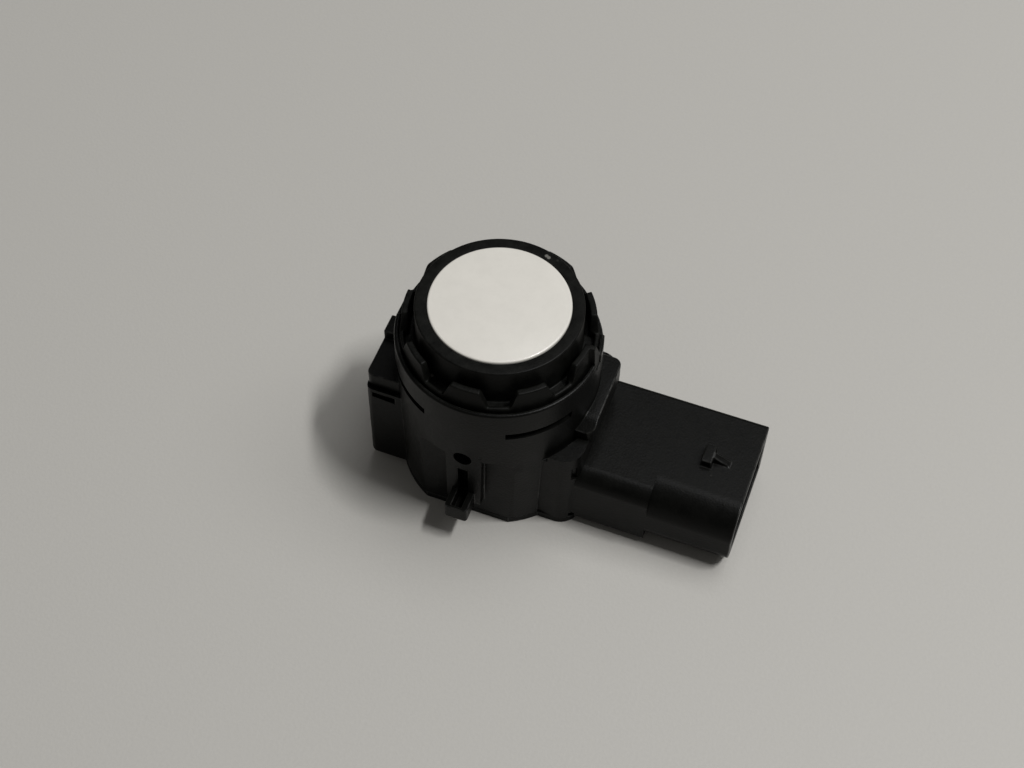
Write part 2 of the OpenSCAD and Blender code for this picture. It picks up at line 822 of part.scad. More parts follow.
module filter_capacitor_1() {
    board_part(filter_capacitor_1_at, filter_capacitor_size, CERAMIC);
}

module filter_capacitor_2() {
    board_part(filter_capacitor_2_at, filter_capacitor_size, CERAMIC);
}

module supply_diode() {
    board_part(diode_at, diode_size, CHIP_BLACK);
}

module bus_resistor() {
    board_part(resistor_at, resistor_size, CHIP_BLACK);
}

module timing_crystal() {
    board_part(crystal_at, crystal_size, TIN);
}

housing();
rear_cover();
membrane_cup();
decoupling_ring();
piezo_disc();
damping_pad();
contact_carrier();
contact_pin(-1);  // contact_pin_signal
contact_pin(1);  // contact_pin_ground
lead_wire(-1);  // lead_wire_signal
lead_wire(1);  // lead_wire_ground
circuit_board();
control_chip();
transformer_base();
transformer_core();
transformer_winding();
storage_capacitor();
filter_capacitor_1();
filter_capacitor_2();
supply_diode();
bus_resistor();
timing_crystal();
terminal_pin(0);  // terminal_pin_1
terminal_pin(1);  // terminal_pin_2
terminal_pin(2);  // terminal_pin_3
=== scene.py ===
import math

import bmesh
import bpy
from mathutils import Matrix, Vector, geometry
from mathutils.bvhtree import BVHTree


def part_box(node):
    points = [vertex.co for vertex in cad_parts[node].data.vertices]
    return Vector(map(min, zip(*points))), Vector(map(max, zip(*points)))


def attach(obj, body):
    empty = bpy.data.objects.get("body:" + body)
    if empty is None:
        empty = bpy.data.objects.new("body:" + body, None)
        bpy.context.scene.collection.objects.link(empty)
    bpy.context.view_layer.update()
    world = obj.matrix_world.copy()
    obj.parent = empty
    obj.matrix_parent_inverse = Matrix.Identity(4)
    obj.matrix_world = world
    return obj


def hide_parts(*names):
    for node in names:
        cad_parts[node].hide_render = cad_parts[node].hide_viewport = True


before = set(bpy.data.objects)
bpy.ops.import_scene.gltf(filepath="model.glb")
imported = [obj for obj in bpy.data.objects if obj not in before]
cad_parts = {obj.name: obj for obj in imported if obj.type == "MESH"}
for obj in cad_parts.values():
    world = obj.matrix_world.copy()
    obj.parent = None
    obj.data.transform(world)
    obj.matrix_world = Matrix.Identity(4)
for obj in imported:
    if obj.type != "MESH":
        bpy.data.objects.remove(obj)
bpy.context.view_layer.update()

bl_info = {
    "name": "Parking sensor",
    "version": (1, 0, 0),
    "blender": (4, 5, 0),
    "location": "3D View > Sidebar > Sensor",
    "description": "Dresses an ultrasonic parking sensor: housing, soft ring, face, plug and electronics",
    "category": "Object",
}

BODY = "root"
MM = 0.001

CUP_LOW, CUP_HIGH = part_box("membrane_cup")
RING_LOW, RING_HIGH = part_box("decoupling_ring")
BOARD_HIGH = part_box("circuit_board")[1]
WINDING_LOW, WINDING_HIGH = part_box("transformer_winding")


def length(name, description, default_mm):
    """A length property whose default is written in millimetres."""
    return bpy.props.FloatProperty(
        name=name, description=description, default=default_mm * MM,
        min=0.0, precision=5, subtype="DISTANCE", unit="LENGTH",
    )


def angle(name, description, default_deg):
    """An angle property whose default is written in degrees."""
    return bpy.props.FloatProperty(
        name=name, description=description, default=math.radians(default_deg),
        subtype="ANGLE", unit="ROTATION",
    )


def colour(name, description, default):
    """A colour property."""
    return bpy.props.FloatVectorProperty(
        name=name, description=description, default=(*default, 1.0),
        size=4, min=0.0, max=1.0, subtype="COLOR",
    )


def factor(name, description, default):
    """A share from nothing to all."""
    return bpy.props.FloatProperty(
        name=name, description=description, default=default, min=0.0, max=1.0, subtype="FACTOR",
    )


def count(name, description, default, least):
    """A whole number."""
    return bpy.props.IntProperty(name=name, description=description, default=default, min=least)


def power(name, description, default):
    """The power of a lamp in watts."""
    return bpy.props.FloatProperty(name=name, description=description, default=default, subtype="POWER")


class SensorSizes(bpy.types.PropertyGroup):
    """Sizes of the pieces that the scene adds to the solids."""

    housing_round: length("Housing rounding", "Edge rounding of the moulded housing", 0.17)
    cover_round: length("Cover rounding", "Edge rounding of the rear cover", 0.1)
    pin_round: length("Pin rounding", "Edge rounding of the terminal pins", 0.05)
    ring_round: length("Ring rounding", "Edge rounding of the soft ring", 0.22)
    face_round: length("Face rounding", "Edge rounding of the painted face", 0.24)
    ring_top_width: length("Ring top width", "Width of the ring's flat top around the cup", 1.4)
    ring_lip_width: length("Ring lip width", "Width of the ring's lip under the cup", 2.2)
    ring_fit: length("Ring fit", "Clearance between the ring and the cup", 0.05)
    sleeve_radius: length("Sleeve radius", "Outside radius of the ring's sleeve", 9.6)
    flange_radius: length("Flange radius", "Outside radius of the ring's flange", 10.85)
    flange_edge: length("Flange edge", "Width of the flange's raised edge", 0.45)
    flange_seat: length("Flange seat", "Height of the flange's underside", 20.5)
    groove_height: length("Groove height", "Height of the groove inside the lobes", 22.0)
    flange_top: length("Flange top", "Height of the flange's edge between the lobes", 22.9)
    lobe_count: count("Lobes", "Number of lobes on the flange", 9, 3)
    lobe_start: angle("First lobe", "Angle of the first lobe from the plug's axis", -90.0)
    lobe_height: length("Lobe height", "Height of the lobes above the flange's edge", 2.1)
    lobe_width: length("Lobe width", "Radial width of a lobe's top", 0.75)
    lobe_lean: length("Lobe lean", "Set-back of a lobe's top from the flange's edge", 0.25)
    lobe_top_len: length("Lobe top length", "Length of a lobe's top", 3.2)
    lobe_base_len: length("Lobe base length", "Length of a lobe at the flange's edge", 5.3)
    key_width: length("Key width", "Width of the ring's key on the plug's side", 1.4)
    key_reach: length("Key reach", "Reach of the key past the flange", 0.5)
    key_height: length("Key height", "Height of the key's underside", 21.1)
    cup_wall: length("Cup wall", "Wall of the membrane cup", 1.2)
    membrane: length("Membrane", "Thickness of the membrane", 0.8)
    winding_turns: count("Turns", "Turns on the transformer's drum", 11, 2)
    winding_bore: length("Winding bore", "Inside radius of the winding", 1.3)
    solder_radius: length("Solder radius", "Radius of a solder joint's foot", 0.62)
    solder_height: length("Solder height", "Height of a solder joint", 0.5)
    chip_lead_pitch: length("Lead pitch", "Distance between the chip's leads", 0.65)
    chip_lead_width: length("Lead width", "Width of a chip lead", 0.28)
    chip_leads: count("Chip leads", "Leads on each side of the chip", 6, 2)
    end_band: length("End band", "Length of the metal ends of the ceramic capacitors", 0.5)


class SensorColours(bpy.types.PropertyGroup):
    """Colours of the finishes."""

    housing: colour("Housing", "Black moulded plastic", (0.0024, 0.0025, 0.0021))
    cover: colour("Cover", "Black plastic of the rear cover", (0.0048, 0.0049, 0.0044))
    # Painted shade: near-black colour for the inside of a moulding pit
    pit_shade: colour("Pit", "Dark bottom of a moulding pit", (0.0004, 0.0004, 0.0004))
    # Lighter tone on rubbed edges, partly wear and partly a painted highlight
    wear_and_highlight: colour("Rubbed edge", "Tone of plastic along rubbed edges", (0.024, 0.024, 0.022))
    dust: colour("Dust", "Pale dust on upward faces", (0.17, 0.165, 0.15))
    silicone: colour("Silicone", "Black soft ring", (0.0026, 0.0027, 0.0023))
    paint: colour("Paint", "White paint of the face", (0.668, 0.645, 0.592))
    aluminium: colour("Aluminium", "Bare wall of the cup", (0.62, 0.62, 0.61))
    ceramic: colour("Ceramic", "Piezo and capacitor ceramic", (0.5, 0.39, 0.23))
    silver: colour("Silver", "Silver electrode", (0.72, 0.7, 0.66))
    foam: colour("Foam", "Damping foam", (0.24, 0.24, 0.23))
    tin: colour("Tin", "Tinned metal and solder", (0.56, 0.56, 0.54))
    copper: colour("Copper", "Enamelled copper", (0.5, 0.2, 0.08))
    board: colour("Board", "Solder mask of the board", (0.012, 0.085, 0.035))
    chip: colour("Chip", "Moulded chip case", (0.014, 0.014, 0.015))
    ferrite: colour("Ferrite", "Sintered drum core", (0.035, 0.035, 0.037))
    terminal: colour("Terminal", "Plated terminal pins", (0.58, 0.44, 0.2))
    floor: colour("Floor", "Pale floor", (0.44, 0.428, 0.4))


class SensorStage(bpy.types.PropertyGroup):
    """Light, floor and camera."""

    floor_size: length("Floor size", "Side of the floor", 3000.0)
    key_power: power("Key power", "Power of the main lamp", 9.4)
    soft_power: power("Soft power", "Power of the wide lamp", 7.2)
    sky: factor("Sky", "Strength of the even light from all round", 0.12)
    lens: bpy.props.FloatProperty(name="Lens", description="Focal length in millimetres", default=61.08)


def settings():
    """The three groups of values that a user changes."""
    scene = bpy.context.scene
    return scene.sensor_sizes, scene.sensor_colours, scene.sensor_stage


# Node trees


class Tree:
    """Short calls for building a node tree."""

    def __init__(self, tree):
        self.tree = tree
        self.nodes = tree.nodes

    def add(self, kind, inputs=None, **values):
        """A new node with its values set and its inputs filled or linked."""
        node = self.nodes.new(kind)
        for name, value in values.items():
            setattr(node, name, value)
        for name, value in (inputs or {}).items():
            self.fill(node.inputs[name], value)
        return node

    def fill(self, socket, value):
        """Links an output to a socket, or sets the socket's own value."""
        if isinstance(value, bpy.types.NodeSocket):
            self.tree.links.new(value, socket)
        else:
            socket.default_value = value

    def math(self, operation, *terms, clamp=False):
        """The result of one sum."""
        node = self.nodes.new("ShaderNodeMath")
        node.operation = operation
        node.use_clamp = clamp
        for i, term in enumerate(terms):
            self.fill(node.inputs[i], term)
        return node.outputs[0]

    def smooth_range(self, value, low, high):
        """A soft step from nothing to one between two values."""
        node = self.add(
            "ShaderNodeMapRange", {"Value": value, "From Min": low, "From Max": high},
            interpolation_type="SMOOTHSTEP",
        )
        return node.outputs["Result"]

    def mix(self, amount, a, b):
        """A colour between two colours."""
        node = self.nodes.new("ShaderNodeMix")
        node.data_type = "RGBA"
        self.fill(node.inputs["Factor"], amount)
        self.fill(next(s for s in node.inputs if s.name == "A" and s.type == "RGBA"), a)
        self.fill(next(s for s in node.inputs if s.name == "B" and s.type == "RGBA"), b)
        return next(s for s in node.outputs if s.type == "RGBA")

    def noise(self, vector, scale, detail=2.0, roughness=0.5):
        """Fractal noise from nothing to one."""
        node = self.add(
            "ShaderNodeTexNoise",
            {"Vector": vector, "Scale": scale, "Detail": detail, "Roughness": roughness},
        )
        return node.outputs["Fac"]


def new_group(name, kind, inputs, outputs):
    """A node group with named sockets, and its input and output nodes."""
    tree = bpy.data.node_groups.new(name, kind)
    for socket_name, socket_type in inputs:
        tree.interface.new_socket(name=socket_name, in_out="INPUT", socket_type=socket_type)
    for socket_name, socket_type in outputs:
        tree.interface.new_socket(name=socket_name, in_out="OUTPUT", socket_type=socket_type)
    t = Tree(tree)
    return t, t.nodes.new("NodeGroupInput").outputs, t.nodes.new("NodeGroupOutput").inputs


FLOAT, VECTOR = "NodeSocketFloat", "NodeSocketVector"
GEOMETRY, MATERIAL, INTEGER = "NodeSocketGeometry", "NodeSocketMaterial", "NodeSocketInt"


def moulded_grain():
    """Fine moulded bumps, a slower mottle, and a roughness that follows both."""
    if "moulded_grain" in bpy.data.node_groups:
        return bpy.data.node_groups["moulded_grain"]
    t, given, out = new_group(
        "moulded_grain", "ShaderNodeTree",
        [
            ("Vector", VECTOR), ("Grain Scale", FLOAT), ("Mottle Scale", FLOAT),
            ("Roughness", FLOAT), ("Spread", FLOAT),
        ],
        [("Height", FLOAT), ("Mottle", FLOAT), ("Roughness", FLOAT)],
    )
    cells = t.add(
        "ShaderNodeTexVoronoi", {"Vector": given["Vector"], "Scale": given["Grain Scale"]},
    ).outputs["Distance"]
    fine = t.noise(given["Vector"], given["Grain Scale"], detail=3.0, roughness=0.6)
    mottle = t.noise(given["Vector"], given["Mottle Scale"], detail=4.0, roughness=0.6)
    t.fill(out["Height"], t.math("MULTIPLY_ADD", cells, 0.6, t.math("MULTIPLY", fine, 0.4)))
    t.fill(out["Mottle"], t.smooth_range(mottle, 0.3, 0.7))
    swing = t.math("SUBTRACT", t.math("MULTIPLY_ADD", mottle, 0.7, t.math("MULTIPLY", fine, 0.3)), 0.5)
    t.fill(out["Roughness"], t.math("MULTIPLY_ADD", swing, given["Spread"], given["Roughness"], clamp=True))
    return t.tree


def edge_wear():
    """Where handling has rubbed the convex edges; the mask lightens them partly as wear and partly as a
    painted highlight.
    """
    if "edge_wear" in bpy.data.node_groups:
        return bpy.data.node_groups["edge_wear"]
    t, given, out = new_group(
        "edge_wear", "ShaderNodeTree",
        [("Vector", VECTOR), ("Edge", FLOAT), ("Scale", FLOAT), ("Amount", FLOAT)],
        [("Mask", FLOAT)],
    )
    patches = t.noise(given["Vector"], given["Scale"], detail=4.0, roughness=0.65)
    rubbed = t.smooth_range(patches, 0.32, 0.68)
    rubbed_and_highlighted_edge = t.math("MULTIPLY", given["Edge"], rubbed)
    t.fill(out["Mask"], t.math("MULTIPLY", rubbed_and_highlighted_edge, given["Amount"], clamp=True))
    return t.tree


def settled_dust():
    """A thin film on upward faces, and a few pale flecks."""
    if "settled_dust" in bpy.data.node_groups:
        return bpy.data.node_groups["settled_dust"]
    t, given, out = new_group(
        "settled_dust", "ShaderNodeTree",
        [
            ("Vector", VECTOR), ("Film Scale", FLOAT), ("Fleck Scale", FLOAT),
            ("Film", FLOAT), ("Flecks", FLOAT),
        ],
        [("Film", FLOAT), ("Flecks", FLOAT)],
    )
    facing = t.nodes.new("ShaderNodeNewGeometry").outputs["Normal"]
    up = t.add("ShaderNodeSeparateXYZ", {"Vector": facing}).outputs["Z"]
    upward = t.smooth_range(up, -0.2, 1.0)
    clouds = t.noise(given["Vector"], given["Film Scale"], detail=5.0, roughness=0.7)
    cloud = t.smooth_range(clouds, 0.35, 0.8)
    t.fill(out["Film"], t.math("MULTIPLY", t.math("MULTIPLY", upward, cloud), given["Film"], clamp=True))
    spots = t.add("ShaderNodeTexVoronoi", {"Vector": given["Vector"], "Scale": given["Fleck Scale"]})
    chosen = t.add("ShaderNodeSeparateColor", {"Color": spots.outputs["Color"]}).outputs["Red"]
    small = t.smooth_range(spots.outputs["Distance"], 0.09, 0.05)
    rare = t.math("GREATER_THAN", chosen, 0.82)
    kept = t.math("MULTIPLY", t.math("MULTIPLY", small, rare), given["Flecks"])
    t.fill(out["Flecks"], t.math("MULTIPLY", kept, upward, clamp=True))
    return t.tree


def place(t, group, **inputs):
    """Puts a shared group in a material."""
    node = t.nodes.new("ShaderNodeGroup")
    node.node_tree = group
    for name, value in inputs.items():
        t.fill(node.inputs[name.replace("_", " ")], value)
    return node.outputs


def blank(name):
    """A new material, its tree, its shader and the object coordinates."""
    if name in bpy.data.materials:
        raise RuntimeError(name + " is the name of another material")
    material = bpy.data.materials.new(name)
    material.use_nodes = True
    t = Tree(material.node_tree)
    shader = t.nodes["Principled BSDF"]
    coords = t.nodes.new("ShaderNodeTexCoord").outputs["Object"]
    return material, t, shader, coords


def bump(t, shader, height, distance, strength):
    """Raises the surface by a height."""
    node = t.add("ShaderNodeBump", {"Height": height, "Distance": distance, "Strength": strength})
    t.fill(shader.inputs["Normal"], node.outputs["Normal"])


def toned(base, share):
    """A colour made darker or lighter."""
    return [min(1.0, share * c) for c in base[:3]] + [1.0]


def dusted(t, coords, tone, film_scale, fleck_scale, film, flecks):
    """A tone under a film of dust and a few flecks."""
    _, colours, _ = settings()
    dust = place(
        t, settled_dust(), Vector=coords,
        Film_Scale=film_scale, Fleck_Scale=fleck_scale, Film=film, Flecks=flecks,
    )
    pale = tuple(colours.dust)
    return t.mix(dust["Flecks"], t.mix(dust["Film"], tone, pale), pale)


def flecks_at(t, coords, places, size):
    """A mask of single spots at given places."""
    total = None
    for spot in places:
        gap = t.add("ShaderNodeVectorMath", {0: coords, 1: spot}, operation="DISTANCE").outputs["Value"]
        one = t.smooth_range(gap, size, size * FLECK_CORE)
        total = one if total is None else t.math("MAXIMUM", total, one)
    return total


# Shine of plastic and rubber, and the polish on rubbed edges
PLASTIC_GLOSS, RUBBER_GLOSS = 0.105, 0.08
POLISH, POLISH_ROUGHNESS = 0.9, 0.3

# Single flecks caught on the soft ring, and a moulding pit beside the near pocket whose inside is painted
# dark as shade
FLECK_PLACES = [
    (0.00243, 0.00809, 0.0269), (0.00273, 0.00795, 0.0269), (-0.004656, -0.008016, 0.022044),
]
FLECK_RADIUS, FLECK_CORE, FLECK_SHARE = 0.26 * MM, 0.55, 0.2
PINHOLES = [(0.002019, -0.011244, 0.013764)]
PIT_RADIUS, PIT_DEPTH = 0.24 * MM, 8.0

# How far the paint runs down the cup's wall, how softly it ends, and its clear coat
PAINT_DEPTH, PAINT_FADE = 2.6 * MM, 0.2 * MM
PAINT_COAT, PAINT_COAT_ROUGHNESS = 0.35, 0.12

# How softly a capacitor's metal ends begin, and the silver on the piezo disc's underside
BAND_FADE = 0.03 * MM
SILVER_TOP, SILVER_LOW = 0.06 * MM, 0.02 * MM


def moulded_plastic(name, base, roughness, wear_and_highlight_amount, film, pinholes=()):
    """Satin black plastic with a fine grain, rubbed edges lightened partly as wear and partly as a painted
    highlight, a little dust, and small moulding pits painted dark as shade.
    """
    _, colours, _ = settings()
    material, t, shader, coords = blank(name)
    grain = place(
        t, moulded_grain(), Vector=coords,
        Grain_Scale=4200.0, Mottle_Scale=420.0, Roughness=roughness, Spread=0.3,
    )
    tone = t.mix(grain["Mottle"], toned(base, 0.78), toned(base, 1.2))
    if wear_and_highlight_amount:
        edge = t.add("ShaderNodeAttribute", attribute_name="edge").outputs["Fac"]
        worn_and_highlighted = place(t, edge_wear(), Vector=coords, Edge=edge, Scale=900.0, Amount=wear_and_highlight_amount)["Mask"]
        # Rubbed edges are lightened, partly as wear and partly as a painted highlight
        tone = t.mix(worn_and_highlighted, tone, tuple(colours.wear_and_highlight))
        t.fill(shader.inputs["Coat Weight"], t.math("MULTIPLY", worn_and_highlighted, POLISH))
        shader.inputs["Coat Roughness"].default_value = POLISH_ROUGHNESS
    tone = dusted(t, coords, tone, film_scale=1500.0, fleck_scale=420.0, film=film, flecks=0.1)
    height = grain["Height"]
    if pinholes:
        # Each pit is sunk by the bump and painted near black as the shade inside it
        pit_and_shade = flecks_at(t, coords, pinholes, PIT_RADIUS)
        tone = t.mix(pit_and_shade, tone, tuple(colours.pit_shade))
        height = t.math("SUBTRACT", height, t.math("MULTIPLY", pit_and_shade, PIT_DEPTH))
    t.fill(shader.inputs["Base Color"], tone)
    t.fill(shader.inputs["Roughness"], grain["Roughness"])
    shader.inputs["Specular IOR Level"].default_value = PLASTIC_GLOSS
    bump(t, shader, height, distance=0.02 * MM, strength=0.8)
    return material


def soft_silicone():
    """Matt black rubber with a cloudy bloom and a few caught flecks."""
    _, colours, _ = settings()
    material, t, shader, coords = blank("soft_silicone")
    grain = place(
        t, moulded_grain(), Vector=coords,
        Grain_Scale=5200.0, Mottle_Scale=900.0, Roughness=0.44, Spread=0.35,
    )
    base = tuple(colours.silicone)
    tone = t.mix(grain["Mottle"], toned(base, 0.7), toned(base, 1.9))
    tone = dusted(t, coords, tone, film_scale=1300.0, fleck_scale=500.0, film=0.02, flecks=0.08)
    caught = flecks_at(t, coords, FLECK_PLACES, FLECK_RADIUS)
    tone = t.mix(t.math("MULTIPLY", caught, FLECK_SHARE), tone, tuple(colours.paint))
    t.fill(shader.inputs["Base Color"], tone)
    t.fill(shader.inputs["Roughness"], grain["Roughness"])
    shader.inputs["Specular IOR Level"].default_value = RUBBER_GLOSS
    bump(t, shader, grain["Height"], distance=0.02 * MM, strength=0.7)
    return material


def white_paint():
    """White paint with a slight orange peel on the face, bare metal on the hidden wall."""
    _, colours, _ = settings()
    material, t, shader, coords = blank("white_paint")
    grain = place(
        t, moulded_grain(), Vector=coords,
        Grain_Scale=1700.0, Mottle_Scale=260.0, Roughness=0.34, Spread=0.12,
    )
    base = tuple(colours.paint)
    paint = t.mix(grain["Mottle"], toned(base, 0.985), toned(base, 1.015))
    paint = dusted(t, coords, paint, film_scale=700.0, fleck_scale=330.0, film=0.05, flecks=0.12)
    height = t.add("ShaderNodeSeparateXYZ", {"Vector": coords}).outputs["Z"]
    paint_end = CUP_HIGH.z - PAINT_DEPTH
    bare = t.smooth_range(height, paint_end, paint_end - PAINT_FADE)
    t.fill(shader.inputs["Base Color"], t.mix(bare, paint, tuple(colours.aluminium)))
    t.fill(shader.inputs["Metallic"], bare)
    t.fill(shader.inputs["Roughness"], grain["Roughness"])
    shader.inputs["Coat Roughness"].default_value = PAINT_COAT_ROUGHNESS
    t.fill(shader.inputs["Coat Weight"], t.math("SUBTRACT", PAINT_COAT, t.math("MULTIPLY", bare, PAINT_COAT)))
    bump(t, shader, grain["Height"], distance=0.012 * MM, strength=0.35)
    return material


def worked_metal(name, base, roughness, stretch):
    """Drawn or plated metal with fine lines along one way."""
    material, t, shader, coords = blank(name)
    lines = t.add("ShaderNodeMapping", {"Vector": coords, "Scale": stretch}).outputs["Vector"]
    grain = place(
        t, moulded_grain(), Vector=lines,
        Grain_Scale=2600.0, Mottle_Scale=700.0, Roughness=roughness, Spread=0.25,
    )
    tone = t.mix(grain["Mottle"], toned(base, 0.82), tuple(base))
    t.fill(shader.inputs["Base Color"], tone)
    t.fill(shader.inputs["Roughness"], grain["Roughness"])
    shader.inputs["Metallic"].default_value = 1.0
    bump(t, shader, grain["Height"], distance=0.008 * MM, strength=0.5)
    return material


def fired_ceramic(name, base, coating, coated_from, coated_to, axis):
    """Matt ceramic whose ends or face carry a metal coating."""
    material, t, shader, coords = blank(name)
    grain = place(
        t, moulded_grain(), Vector=coords,
        Grain_Scale=6000.0, Mottle_Scale=900.0, Roughness=0.6, Spread=0.25,
    )
    tone = t.mix(grain["Mottle"], toned(base, 0.85), tuple(base))
    along = t.add("ShaderNodeSeparateXYZ", {"Vector": coords}).outputs[axis]
    coated = t.smooth_range(along, coated_from, coated_to)
    t.fill(shader.inputs["Base Color"], t.mix(coated, tone, tuple(coating)))
    t.fill(shader.inputs["Metallic"], coated)
    t.fill(shader.inputs["Roughness"], grain["Roughness"])
    bump(t, shader, grain["Height"], distance=0.01 * MM, strength=0.6)
    return material


def banded_ceramic(name, middle, half):
    """Ceramic block with a tinned band at each end along X."""
    _, colours, _ = settings()
    material, t, shader, coords = blank(name)
    grain = place(
        t, moulded_grain(), Vector=coords,
        Grain_Scale=6000.0, Mottle_Scale=900.0, Roughness=0.5, Spread=0.2,
    )
    along = t.add("ShaderNodeSeparateXYZ", {"Vector": coords}).outputs["X"]
    off = t.math("ABSOLUTE", t.math("SUBTRACT", along, middle))
    ends = t.smooth_range(off, half - BAND_FADE, half + BAND_FADE)
    base = tuple(colours.ceramic)
    tone = t.mix(grain["Mottle"], toned(base, 0.6), toned(base, 0.75))
    t.fill(shader.inputs["Base Color"], t.mix(ends, tone, tuple(colours.tin)))
    t.fill(shader.inputs["Metallic"], ends)
    t.fill(shader.inputs["Roughness"], grain["Roughness"])
    height = t.math("MULTIPLY_ADD", grain["Height"], 0.3, ends)
    bump(t, shader, height, distance=0.04 * MM, strength=0.6)
    return material


def open_foam():
    """Grey foam with open cells, painted darker in their hollows as shade."""
    _, colours, _ = settings()
    material, t, shader, coords = blank("open_foam")
    cells = t.add(
        "ShaderNodeTexVoronoi", {"Vector": coords, "Scale": 2600.0}, feature="SMOOTH_F1",
    ).outputs["Distance"]
    base = tuple(colours.foam)
    # Painted shade: each cell is darker towards its hollow middle
    shade = t.smooth_range(cells, 0.1, 0.6)
    t.fill(shader.inputs["Base Color"], t.mix(shade, toned(base, 0.45), base))
    shader.inputs["Roughness"].default_value = 0.95
    bump(t, shader, cells, distance=0.15 * MM, strength=0.9)
    return material


def solder_mask():
    """Green board with traces pressed through the mask."""
    _, colours, _ = settings()
    material, t, shader, coords = blank("solder_mask")
    grain = place(
        t, moulded_grain(), Vector=coords,
        Grain_Scale=3000.0, Mottle_Scale=500.0, Roughness=0.3, Spread=0.2,
    )
    cell = t.add(
        "ShaderNodeTexVoronoi", {"Vector": coords, "Scale": 520.0, "Randomness": 0.85},
        feature="DISTANCE_TO_EDGE",
    ).outputs["Distance"]
    trace = t.smooth_range(cell, 0.09, 0.06)
    base = tuple(colours.board)
    plain = t.mix(grain["Mottle"], toned(base, 0.85), base)
    t.fill(shader.inputs["Base Color"], t.mix(trace, plain, toned(base, 2.1)))
    t.fill(shader.inputs["Roughness"], grain["Roughness"])
    height = t.math("MULTIPLY_ADD", grain["Height"], 0.2, trace)
    bump(t, shader, height, distance=0.03 * MM, strength=0.7)
    return material


# Meshes

# Points that fall together, and neighbouring faces that count as one flat face
WELD, FLAT_ENOUGH = 0.002 * MM, math.radians(0.6)
# Edges that get rounded, edges that run on along a curve, and faces that shade as one
SHARP_TURN, STRAIGHT_ON = math.radians(26.0), math.radians(148.0)
NEARLY_STRAIGHT = math.radians(179.7)
SMOOTH_COS = math.cos(math.radians(50.0))
ROUND_SEGMENTS = 3
# Share of the space beside an edge that its rounding may take, its least, and its change along a curve
CROWDED, FREE = 0.45, 0.9
LEAST_SHARE, TAPER, LEAST_CHANGE = 0.15, 0.3, 1e-8
# What counts as a fold, how far round it roundings are loosened, how much, and how often
FOLD, FOLDED_QUAD, LEAST_FOLD = 0.02, 0.5, 2e-9
DOUBLED_BACK = math.radians(25.0)
FOLD_REACH, LOOSEN, ROUNDS = 3.0, 0.4, 14
# Points that left the surface too far, and which rounded points count as rubbed
STRAY, OFF_SURFACE = 0.75, 0.06
LEAST_RUBBED, MOST_RUBBED = 0.2, 0.9
# Share of a side that a turned corner's rounding may take, and the least length that counts
CORNER_SHARE, TINY = 0.45, 1e-7


def new_piece(name, mesh):
    """An object for a mesh, in the scene at the origin."""
    piece = bpy.data.objects.new(name, mesh)
    bpy.context.scene.collection.objects.link(piece)
    return piece


def shade(mesh, sharp_deg):
    """Smooth shading that keeps edges sharper than an angle."""
    mesh.shade_smooth()
    mesh.set_sharp_from_angle(angle=math.radians(sharp_deg))


def mark_edges(mesh, surface, reach):
    """Writes which points lie on a rounded outward edge, for the wear and painted highlight on rubbed edges.
    """
    bm = bmesh.new()
    bm.from_mesh(mesh)
    marks = []
    for v in bm.verts:
        turn = max((e.calc_face_angle_signed(0.0) for e in v.link_edges), default=0.0)
        lifted = surface.find_nearest(v.co)[3] > OFF_SURFACE * reach
        marks.append(1.0 if lifted and LEAST_RUBBED < turn < MOST_RUBBED else 0.0)
    bm.free()
    mesh.attributes.new("edge", "FLOAT", "POINT").data.foreach_set("value", marks)


def room_beside(edge, sharp):
    """How far an edge can be rounded before the rounding meets a neighbour."""
    room = math.inf
    for loop in edge.link_loops:
        before, after = loop.link_loop_prev, loop.link_loop_next
        ends = ((before.edge, loop.vert), (after.edge, after.vert))
        for other, corner in ends:
            along = edge.other_vert(corner).co - corner.co
            beside = other.other_vert(corner).co - corner.co
            turn = along.angle(beside)
            if other not in sharp:
                crowded = any(e in sharp for e in other.other_vert(corner).link_edges)
                room = min(room, (CROWDED if crowded else FREE) * beside.length * math.sin(turn))
            elif turn < STRAIGHT_ON:
                room = min(room, CROWDED * min(along.length, beside.length) * math.tan(turn / 2))
    return room


def even_out(widths):
    """Lowers roundings so that they change gently from edge to edge along a curve."""
    waiting = sorted(widths, key=lambda e: (widths[e], e.index))
    while waiting:
        edge = waiting.pop(0)
        for corner in edge.verts:
            along = edge.other_vert(corner).co - corner.co
            for other in corner.link_edges:
                if other is edge or other not in widths:
                    continue
                beside = other.other_vert(corner).co - corner.co
                turn = along.angle(beside)
                if turn < STRAIGHT_ON or turn > NEARLY_STRAIGHT:
                    continue
                most = widths[edge] + TAPER * min(along.length, beside.length) * math.sin(turn)
                if widths[other] > most + LEAST_CHANGE:
                    widths[other] = most
                    waiting.append(other)


def folded_places(mesh):
    """Places where a face of a mesh folds over itself."""
    bm = bmesh.new()
    bm.from_mesh(mesh)
    bm.normal_update()
    whole, facing = {}, {}
    for corners in bm.calc_loop_triangles():
        a, b, c = (corner.vert.co for corner in corners)
        face = corners[0].face
        out = (b - a).cross(c - a)
        whole[face] = whole.get(face, 0.0) + out.length
        facing[face] = facing.get(face, 0.0) + out.dot(face.normal)
    places = []
    for face, size in whole.items():
        lost = size - facing[face]
        if len(face.verts) == 4 and lost > FOLDED_QUAD * size and size > LEAST_FOLD:
            places.append(face.calc_center_median())
        elif len(face.verts) > 4 and lost > FOLD * size:
            places.extend(crossings(face))
    bm.free()
    return places


